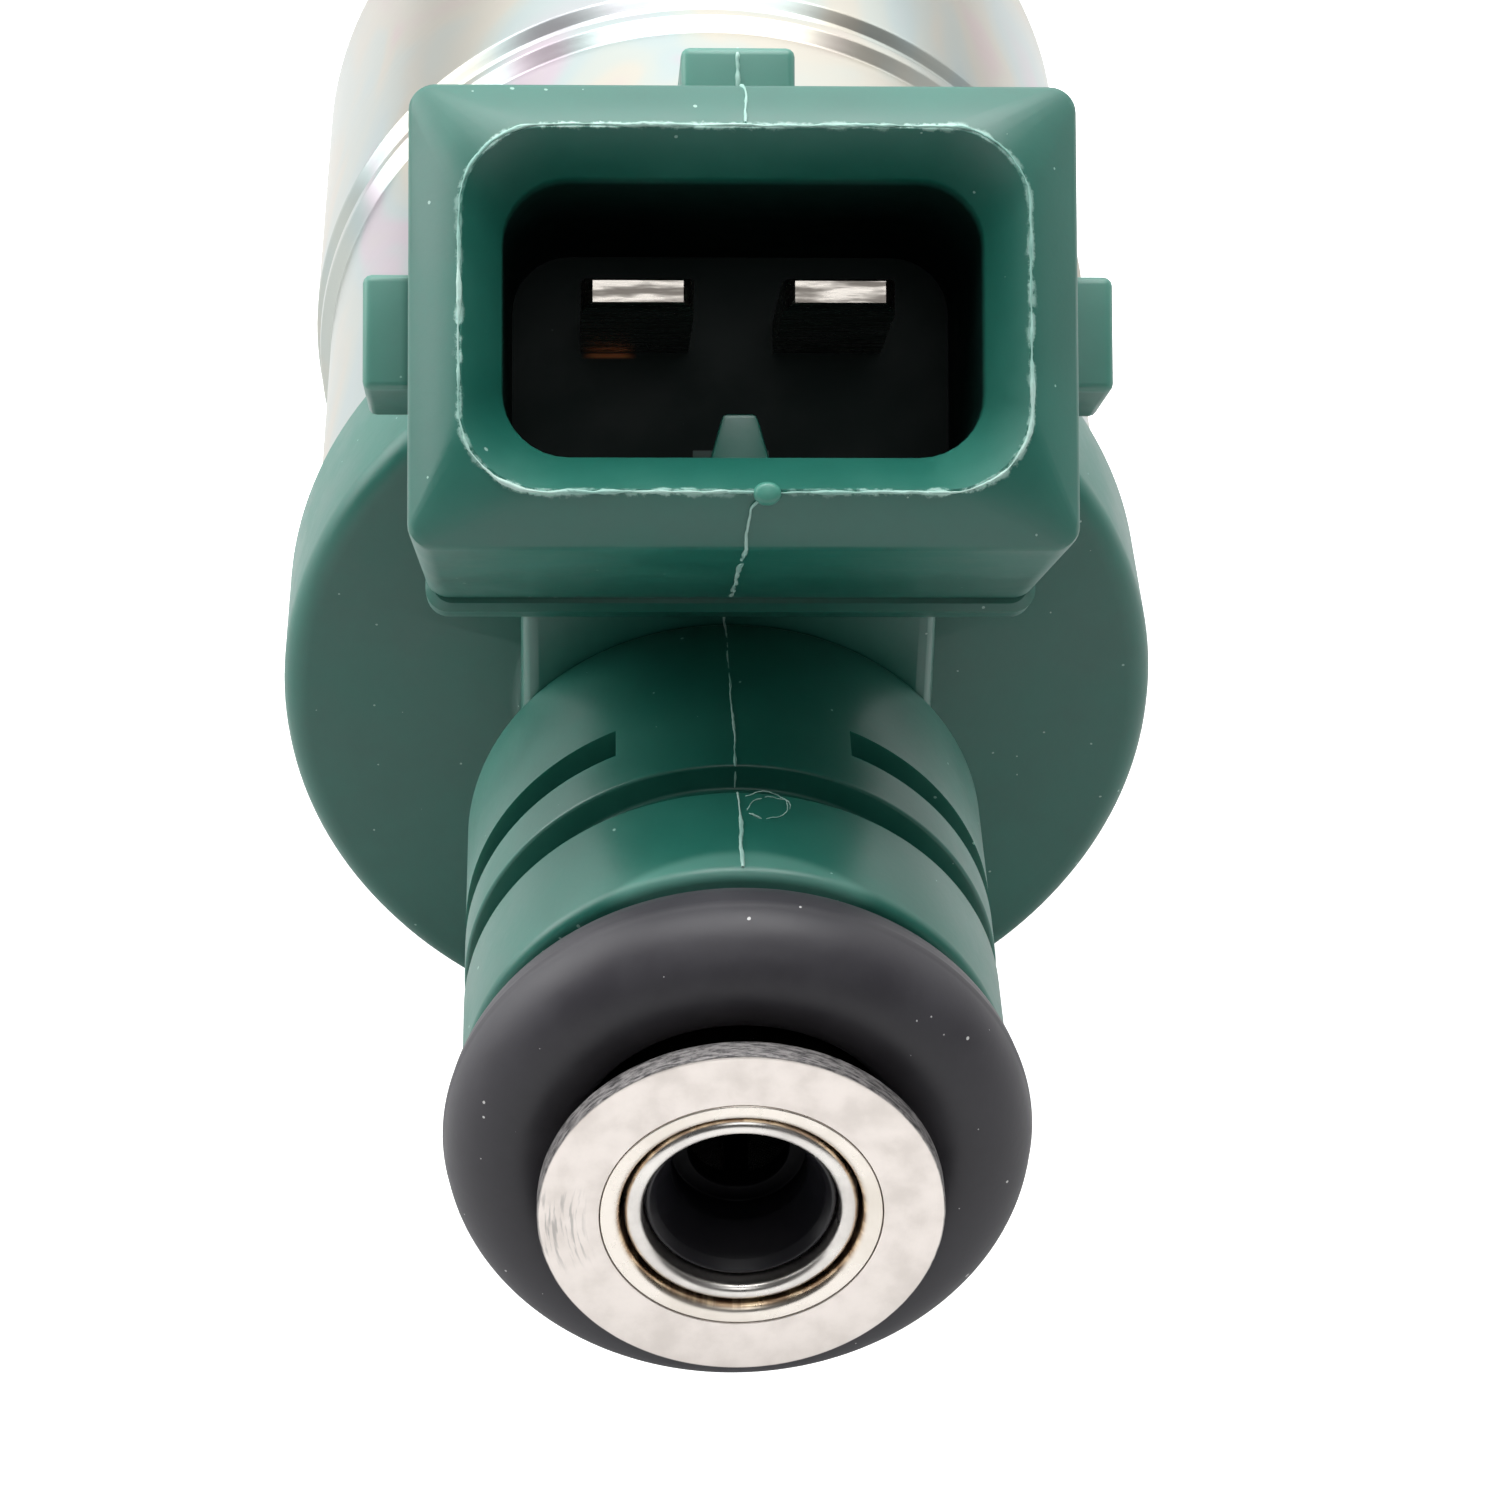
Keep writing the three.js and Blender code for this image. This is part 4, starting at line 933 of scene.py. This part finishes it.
def build_flash_thread():
    """A thin, uneven thread along a curve: it wanders sideways and swells and thins."""
    tree, start, end = new_tree(
        "flash_thread", Geometry="Geometry", Thickness="Float", Wander="Float", Step="Float",
        Wave="Float", Seed="Float", Material="Material")
    points = add(tree, "GeometryNodeResampleCurve", {
        "Curve": start["Geometry"], "Length": start["Step"]}, mode="LENGTH")
    place = tree.nodes.new("GeometryNodeInputPosition").outputs[0]
    frequency = math_node("DIVIDE", 1.0, start["Wave"])

    def cloud(scale, detail):
        inputs = {"Vector": place, "W": start["Seed"], "Scale": product(frequency, scale),
                  "Detail": detail}
        return add(tree, "ShaderNodeTexNoise", inputs, noise_dimensions="4D").outputs

    centred = add(tree, "ShaderNodeVectorMath", {0: cloud(1.0, 3.0)["Color"], 1: (0.5, 0.5, 0.5)},
                  operation="SUBTRACT")
    moved = add(tree, "ShaderNodeVectorMath", {0: centred.outputs[0], "Scale": start["Wander"]},
                operation="SCALE")
    wandering = add(tree, "GeometryNodeSetPosition", {
        "Geometry": points.outputs[0], "Offset": moved.outputs[0]})
    swell = product(map_range(cloud(1.3, 5.0)["Fac"], 0.36, 0.66, 0.3, 1.0),
                    map_range(cloud(0.22, 1.0)["Fac"], 0.42, 0.58, 0.6, 1.0))
    section = add(tree, "GeometryNodeCurvePrimitiveCircle", {
        "Resolution": 6, "Radius": start["Thickness"]})
    thread = add(tree, "GeometryNodeCurveToMesh", {
        "Curve": wandering.outputs[0], "Profile Curve": section.outputs["Curve"], "Scale": swell,
        "Fill Caps": True})
    finish_tree(tree, start, end, thread.outputs[0])
    return tree


flash_thread = build_flash_thread()
pale_flash = plastic("pale_flash", (0.2, 0.42, 0.36), (0.5, 0.68, 0.62), 0.5, 0.0001, 0.00001)
worn_green = plastic("worn_green", (0.05, 0.23, 0.175), (0.11, 0.34, 0.27), 0.45, 0.0001, 0.00001)


def flash(name, points, thickness, wander, step, wave, seed, closed=False):
    """A thread of flash along points in millimetres; its other lengths are in metres."""
    line = bpy.data.curves.new(name + "_line", "CURVE")
    line.dimensions = "3D"
    spline = line.splines.new("POLY")
    spline.points.add(len(points) - 1)
    for knot, point in zip(spline.points, points):
        knot.co = (*(Vector(point) * MM), 1)
    spline.use_cyclic_u = closed
    base = link(bpy.data.objects.new(name + "_line", line))
    piece = grown(name, flash_thread, base, Thickness=thickness, Wander=wander, Step=step,
                  Wave=wave, Seed=seed, Material=pale_flash)
    dress(piece, pale_flash, "green_plastic", angle=60)


mouth_line = leaning([(x, y, RIM_PROUD - 0.01)
                      for x, y in rounded_ring(RIM_WIDTH, RIM_HEIGHT, RIM_CORNER, 12)])
flash("mouth_flash", mouth_line, 0.00007, 0.00012, 0.00005, 0.0007, 3.0, True)

top_line = leaning([
    (0.02, nub_top, NUB_REAR + 0.3),
    (0, nub_top, NUB_FRONT - 0.25),
    (0, nub_top - 0.25, NUB_FRONT),
    (0.02, SHROUD_HEIGHT, NUB_FRONT),
    (0.02, SHROUD_HEIGHT, -0.22),
    (-0.02, SHROUD_HEIGHT - 0.02, -0.08),
    (0.02, SHROUD_HEIGHT - 0.1, 0.06),
    (0.05, RIM_HEIGHT + 0.06, RIM_PROUD - 0.05),
])
flash("top_parting_flash", top_line, 0.00008, 0.00022, 0.00005, 0.0009, 8.0)

under_line = leaning([
    (0.42, -RIM_HEIGHT - 0.06, RIM_PROUD - 0.05),
    (0.14, -RIM_HEIGHT - 0.32, RIM_PROUD - 0.28),
    (0.05, -SHROUD_HEIGHT + 0.1, 0.06),
    (0, -SHROUD_HEIGHT, -0.2),
    (-0.05, -SHROUD_HEIGHT, -SHROUD_DEPTH + 2),
])
flash("under_parting_flash", under_line, 0.00008, 0.00045, 0.00006, 0.0014, 21.0)

neck_line = [
    (-0.1, stem_front, rear_low.z + 0.6),
    (-0.1, stem_front, NECK_RADIUS),
    (0, GROOVE_BACK + 0.02, NECK_RADIUS),
    (0, GROOVE_BACK, groove_floor),
    (0, GROOVE_FRONT, groove_floor),
    (0, GROOVE_FRONT - 0.02, NECK_RADIUS),
    (0.05, neck_front + 0.2, NECK_RADIUS),
]
flash("neck_parting_flash", neck_line, 0.000065, 0.00022, 0.00005, 0.0011, 30.0)

HAIR_POINTS = 56
HAIR_POINTS_ROUND = 40
HAIR_ACROSS, HAIR_ALONG = 0.75, 7.6
HAIR_FLATNESS = 0.75
HAIR_LIFT = 0.03
hair_line = []
for i in range(HAIR_POINTS):
    angle = 2 * math.pi * i / HAIR_POINTS_ROUND
    reach = 0.5 + 0.13 * math.sin(1.7 * angle + 0.6) + 0.003 * i
    x = HAIR_ACROSS + reach * math.cos(angle)
    y = HAIR_ALONG + HAIR_FLATNESS * reach * math.sin(angle)
    hair_line.append((x, y, math.sqrt(NECK_RADIUS ** 2 - x * x) + HAIR_LIFT))
flash("loose_hair", hair_line, 0.000032, 0.0004, 0.00004, 0.0006, 44.0)

STUMP_SIDES = 24
stump_place = Vector((0.5, -RIM_HEIGHT - 0.02, RIM_PROUD - 0.12))
angles = [2 * math.pi * i / STUMP_SIDES for i in range(STUMP_SIDES)]
stump_rings = [
    leaning([stump_place + Vector((reach * math.cos(a), 0.8 * reach * math.sin(a), proud))
             for a in angles])
    for proud, reach in ((-0.15, 0.34), (0.1, 0.34), (0.2, 0.29), (0.24, 0.2))
]
dress(lofted("gate_stump", stump_rings), worn_green, "green_plastic", angle=40)

# ---------------------------------------------------------------------------------------------
# The terminal blades are stamped brass with a bright tin plate, chamfered at their tips. Each
# comes out of the socket's floor and bends down through the moulding to the coil.

BLADE_HEIGHT = 1.15
BLADE_TIP = -3.0
TAIL_HALF = 0.8

tin_plate = new_material("tin_plate", 0.3, metallic=1.0)
tree, shader = insides(tin_plate)
drawn_out = add(tree, "ShaderNodeVectorMath", {0: object_place(tree), 1: (700, 5200, 5200)},
                operation="MULTIPLY")
streaks = noise(drawn_out.outputs[0], Scale=1.0, Detail=4.0)
dull = map_range(streaks, 0.4, 0.66)
feed(mix_colour(dull, (0.66, 0.62, 0.57), (0.32, 0.29, 0.26)), shader.inputs["Base Color"])
feed(map_range(dull, 0, 1, 0.26, 0.4), shader.inputs["Roughness"])
bump(shader, streaks, 0.4, 0.000012)


def blade_tail(node, centre):
    """The narrow part of a blade, straight down from the socket's floor and bent along the axis."""
    half = BLADE_HALF[1]
    start, low, high = leaning([
        (0, BLADE_HEIGHT, 0),
        (0, BLADE_HEIGHT - half, SOCKET_FLOOR),
        (0, BLADE_HEIGHT + half, SOCKET_FLOOR),
    ])
    bend = start.y + (start.z - tail_height) / math.tan(TILT)
    mitre = half * math.tan(TILT / 2)
    end = along(node)[1]
    outline = [(low.y, low.z), (bend - mitre, tail_height - half), (end, tail_height - half),
               (end, tail_height + half), (bend + mitre, tail_height + half), (high.y, high.z)]
    sides = (centre - TAIL_HALF, centre + TAIL_HALF)
    return lofted("tail", [[(x, y, z) for y, z in outline] for x in sides])


for node in ("terminal_blade_left", "terminal_blade_right"):
    low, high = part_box(node)
    centre = (low.x + high.x) / 2 / MM
    rings = []
    for w, hw, hh in ((SOCKET_FLOOR - 1, *BLADE_HALF), (BLADE_TIP - 0.9, *BLADE_HALF),
                      (BLADE_TIP - 0.25, 1.3, 0.36), (BLADE_TIP, 1.12, 0.27)):
        rings.append(leaning([(centre + x, BLADE_HEIGHT + y, w)
                              for x, y in ((hw, hh), (-hw, hh), (-hw, -hh), (hw, -hh))]))
    blade = lofted(node + "_stamped", rings)
    combine(blade, [blade_tail(node, centre)], "UNION")
    round_edges(blade, 0.05, 2)
    dress(blade, tin_plate, "tinned_brass", node)

# ---------------------------------------------------------------------------------------------
# The end plate closes the magnetic circuit under the disc, and the can is deep-drawn steel with
# bright zinc and a pale passivation that shows faint rainbow colours. A bead steps it out, and
# its far end is rolled in over the nozzle body.

CAN_BORE = 10.1
CAN_STEP = 40.9
CAN_MOUTH_BORE = 5.95
NOZZLE_ROOM = 7.55
GUIDE_BORE = 4.75

soft_iron = metal("soft_iron", (0.4, 0.4, 0.41), (0.3, 0.3, 0.31), 0.45, 0.0001, 0.000004)
finish_nodes(soft_iron, "end_plate")

can_front, can_back = along("solenoid_can")
wide_radius = radius_of("solenoid_can")
guide_front = along("armature")[0] + 1
guide_back = can_back - 7.1
can = turned("can_drawn", [
    (CAN_BORE, can_front, 0.1),
    (CAN_RADIUS, can_front, 0.1),
    (CAN_RADIUS, CAN_STEP - 0.5, 0.2),
    (CAN_RADIUS + 0.34, CAN_STEP - 0.05, 0.2),
    (CAN_RADIUS + 0.36, CAN_STEP + 0.3, 0.12),
    (CAN_RADIUS + 0.1, CAN_STEP + 0.6, 0.15),
    (CAN_RADIUS + 0.2, CAN_STEP + 0.9, 0.15),
    (wide_radius, CAN_STEP + 1.25, 0.2),
    (wide_radius, can_back - 2.0, 1.5),
    (8.4, can_back - 0.6, 0.4),
    (7.7, can_back, 0.3),
    (CAN_MOUTH_BORE, can_back, 0.15),
    (CAN_MOUTH_BORE, can_back - 1.5, 0),
    (NOZZLE_ROOM, can_back - 1.5, 0),
    (NOZZLE_ROOM, guide_back, 0),
    (GUIDE_BORE, guide_back, 0),
    (GUIDE_BORE, guide_front, 0),
    (CAN_BORE, guide_front, 0),
], 6)

zinc = new_material("passivated_zinc", 0.3, metallic=1.0)
tree, shader = insides(zinc)
place = place_group(tree, axis_place)
sweep = plane_place(product(place["Angle"], 1.6), product(place["Along"], 90.0))
film = noise(sweep, Scale=1.1, Detail=2.0, Roughness=0.45, Distortion=0.8)
colours = add(tree, "ShaderNodeValToRGB", {"Fac": film})
colours.color_ramp.interpolation = "EASE"
RAINBOW = [
    (0.3, (0.48, 0.39, 0.385)), (0.42, (0.46, 0.44, 0.385)), (0.5, (0.415, 0.445, 0.415)),
    (0.58, (0.38, 0.44, 0.435)), (0.66, (0.445, 0.39, 0.43)), (0.76, (0.46, 0.455, 0.37))]
while len(colours.color_ramp.elements) < len(RAINBOW):
    colours.color_ramp.elements.new(0.5)
for stop, (position, colour) in zip(colours.color_ramp.elements, RAINBOW):
    stop.position = position
    stop.color = (*colour, 1.0)
feed(colours.outputs["Color"], shader.inputs["Base Color"])
bump(shader, place_group(tree, turning_marks, Pitch=0.0004)["Height"], 0.4, 0.000006)
dress(can, zinc, "zinc_plate", "solenoid_can", angle=35)

# ---------------------------------------------------------------------------------------------
# The stop plate limits the needle's lift. The needle is ground stainless with the armature
# pressed on it; in the injector the two slide together.

ground_steel = metal("ground_steel", (0.72, 0.71, 0.69), (0.6, 0.59, 0.57), 0.18,
                     0.00004, 0.000001)
finish_nodes(spring_steel, "stop_plate")
finish_nodes(soft_iron, "armature")
finish_nodes(ground_steel, "needle")

# ---------------------------------------------------------------------------------------------
# The nozzle body is turned stainless, crimped into the can's end. It carries the lower O-ring
# between a plastic spacer and the spray cap.

NOZZLE_BORE = 3.1
NOZZLE_FLOOR = 1.6
GUIDE_HOLE = 2.05
JET_HOLE = 0.75
SEAL_GROOVE_DEPTH = 1.4
SEAL_GROOVE_WIDTH = 1.45
CAP_WAIST = 5.2
CAP_HOLE = 2.2

satin_steel = metal("satin_turned_steel", (0.7, 0.69, 0.66), (0.6, 0.585, 0.56), 0.33,
                    0.00012, 0.000005)
nozzle_front, nozzle_back = along("nozzle_body")
nozzle_radius = radius_of("nozzle_body")
shank_radius = seat_radius + 2
seal_groove = nozzle_front + 1.2
nozzle_flange_back = can_back - 1.6
shank_end = along("lower_spacer_ring")[0] - PRESS_GAP
seat_cone = nozzle_back - 2.2
nozzle = turned("nozzle_body_turned", [
    (NOZZLE_BORE, nozzle_front, 0.1),
    (nozzle_radius, nozzle_front, 0.2),
    (nozzle_radius, seal_groove, 0.1),
    (nozzle_radius - SEAL_GROOVE_DEPTH, seal_groove, 0.1),
    (nozzle_radius - SEAL_GROOVE_DEPTH, seal_groove + SEAL_GROOVE_WIDTH, 0.1),
    (nozzle_radius, seal_groove + SEAL_GROOVE_WIDTH, 0.1),
    (nozzle_radius, nozzle_flange_back, 0.2),
    (shank_radius, nozzle_flange_back, 0.1),
    (shank_radius, shank_end, 0.3),
    (seat_radius, shank_end, 0.1),
    (seat_radius, nozzle_back, 0.2),
    (JET_HOLE, nozzle_back, 0.1),
    (JET_HOLE, seat_cone + 1.3, 0.05),
    (GUIDE_HOLE, seat_cone, 0.05),
    (GUIDE_HOLE, nozzle_front + NOZZLE_FLOOR, 0.1),
    (NOZZLE_BORE, nozzle_front + NOZZLE_FLOOR, 0.1),
])
dress(nozzle, satin_steel, "stainless", "nozzle_body")

spacer = hoop("spacer_moulding", seat_radius + PRESS_GAP, radius_of("lower_spacer_ring"),
              *along("lower_spacer_ring"), (0.1, 0.35, 0.2, 0.1))
dress(spacer, black_plastic, "black_plastic", "lower_spacer_ring")

cap_front, cap_back = along("nozzle_cap")
cap_collar = radius_of("nozzle_cap")
cap = turned("spray_cap_moulding", [
    (seat_radius + PRESS_GAP, cap_front, 0.1),
    (cap_collar, cap_front, 0.25),
    (cap_collar, cap_front + 1.25, 0.25),
    (CAP_WAIST, cap_front + 1.6, 0.3),
    (CAP_WAIST, cap_back, 0.6),
    (2.7, cap_back, 0.15),
    (CAP_HOLE, cap_back - 0.6, 0.1),
    (CAP_HOLE, nozzle_back + PRESS_GAP, 0),
    (seat_radius + PRESS_GAP, nozzle_back + PRESS_GAP, 0),
])
dress(cap, black_plastic, "black_plastic", "nozzle_cap")

# ---------------------------------------------------------------------------------------------
# The two O-rings are the same part: charcoal fluorocarbon rubber, with the fine line of the
# mould's flash round the outside.

SECTION_SIDES = 96
FLASH_RISE = 0.03
FLASH_HALF = 0.045

for name, node in (("upper_seal_moulded", "upper_o_ring"), ("lower_seal_moulded", "lower_o_ring")):
    front, back = along(node)
    section, middle = (back - front) / 2, (front + back) / 2
    centre = radius_of(node) - section
    corners = []
    for i in range(SECTION_SIDES):
        angle = 2 * math.pi * i / SECTION_SIDES
        away = math.atan2(math.sin(angle), math.cos(angle)) * section
        reach = section - FLASH_RISE + FLASH_RISE * math.exp(-(away / FLASH_HALF) ** 2)
        corners.append((centre + reach * math.cos(angle), middle + reach * math.sin(angle), 0))
    dress(turned(name, corners), seal_rubber, "rubber", node, angle=180)

# ---------------------------------------------------------------------------------------------
# The table and the light: five soft lights, the largest behind and overhead, in a room that is
# bright only behind the injector. The camera sees the table and the room as plain white, so the
# injector lies on it without a shadow.

TABLE_HALF = 900
TABLE_DROP = 0.00002

corners = [(-TABLE_HALF, -TABLE_HALF, 0), (TABLE_HALF, -TABLE_HALF, 0),
           (TABLE_HALF, TABLE_HALF, 0), (-TABLE_HALF, TABLE_HALF, 0)]
floor = mesh_object("floor", corners, [(0, 1, 2, 3)])
floor.data.transform(Matrix.Translation((0, 0, cad_box[0].z - TABLE_DROP)))
white_table = new_material("white_table", 0.9)
tree, shader = insides(white_table)
shader.inputs["Base Color"].default_value = (0.6, 0.6, 0.6, 1)
shader.inputs["Emission Color"].default_value = (1, 1, 1, 1)
seen = tree.nodes.new("ShaderNodeLightPath").outputs["Is Camera Ray"]
feed(seen, shader.inputs["Emission Strength"])
floor.data.materials.append(white_table)

LIGHT_TARGET = Vector((0, 0.02, 0.005))
for name, place, size, power in (
    ("behind", (0, 0.25, 0.33), 0.65, 1.35),
    ("overhead", (0, 0.1, 0.45), 0.4, 2.6),
    ("side_left", (-0.38, 0.12, 0.2), 0.35, 1.6),
    ("side_right", (0.38, 0.12, 0.2), 0.35, 0.32),
    ("front", (0.02, -0.35, 0.37), 0.2, 0.26),
):
    lamp = bpy.data.lights.new(name, "AREA")
    lamp.shape = "SQUARE"
    lamp.size = size
    lamp.energy = power
    holder = link(bpy.data.objects.new(name, lamp))
    holder.location = place
    holder.rotation_euler = (LIGHT_TARGET - Vector(place)).to_track_quat("-Z", "Y").to_euler()

world = bpy.data.worlds.new("white_room")
world.use_nodes = True
tree = world.node_tree
background = tree.nodes["Background"]
direction = tree.nodes.new("ShaderNodeTexCoord").outputs["Generated"]
parts = add(tree, "ShaderNodeSeparateXYZ", {"Vector": direction}).outputs
glow = map_range(parts["Y"], 0.15, 0.75, 0.06, 0.95)
seen = tree.nodes.new("ShaderNodeLightPath").outputs["Is Camera Ray"]
background.inputs["Color"].default_value = (1, 1, 1, 1)
feed(math_node("MAXIMUM", glow, seen), background.inputs["Strength"])
bpy.context.scene.world = world
bpy.context.scene.view_settings.view_transform = "Standard"

# ---------------------------------------------------------------------------------------------
# The camera looks down on the inlet end from a little to the left, with a long lens.

CAMERA_PLACE = Vector((-4.437, -93.098, 79.742)) * MM
YAW, PITCH, ROLL = (math.radians(a) for a in (2.669, 35.219, 1.526))
ahead = Vector((math.sin(YAW), math.cos(YAW), 0))
forward = ahead * math.cos(PITCH) - Vector((0, 0, math.sin(PITCH)))
level = Vector((math.cos(YAW), -math.sin(YAW), 0))
upright = level.cross(forward)
right = level * math.cos(ROLL) + upright * math.sin(ROLL)
up = upright * math.cos(ROLL) - level * math.sin(ROLL)
lens = bpy.data.cameras.new("camera")
lens.lens = 120
lens.sensor_width = 36
lens.clip_start = 0.005
lens.clip_end = 10
camera = link(bpy.data.objects.new("camera", lens))
turn = Matrix((right, up, -forward)).transposed().to_4x4()
camera.matrix_world = Matrix.Translation(CAMERA_PLACE) @ turn
bpy.context.scene.camera = camera
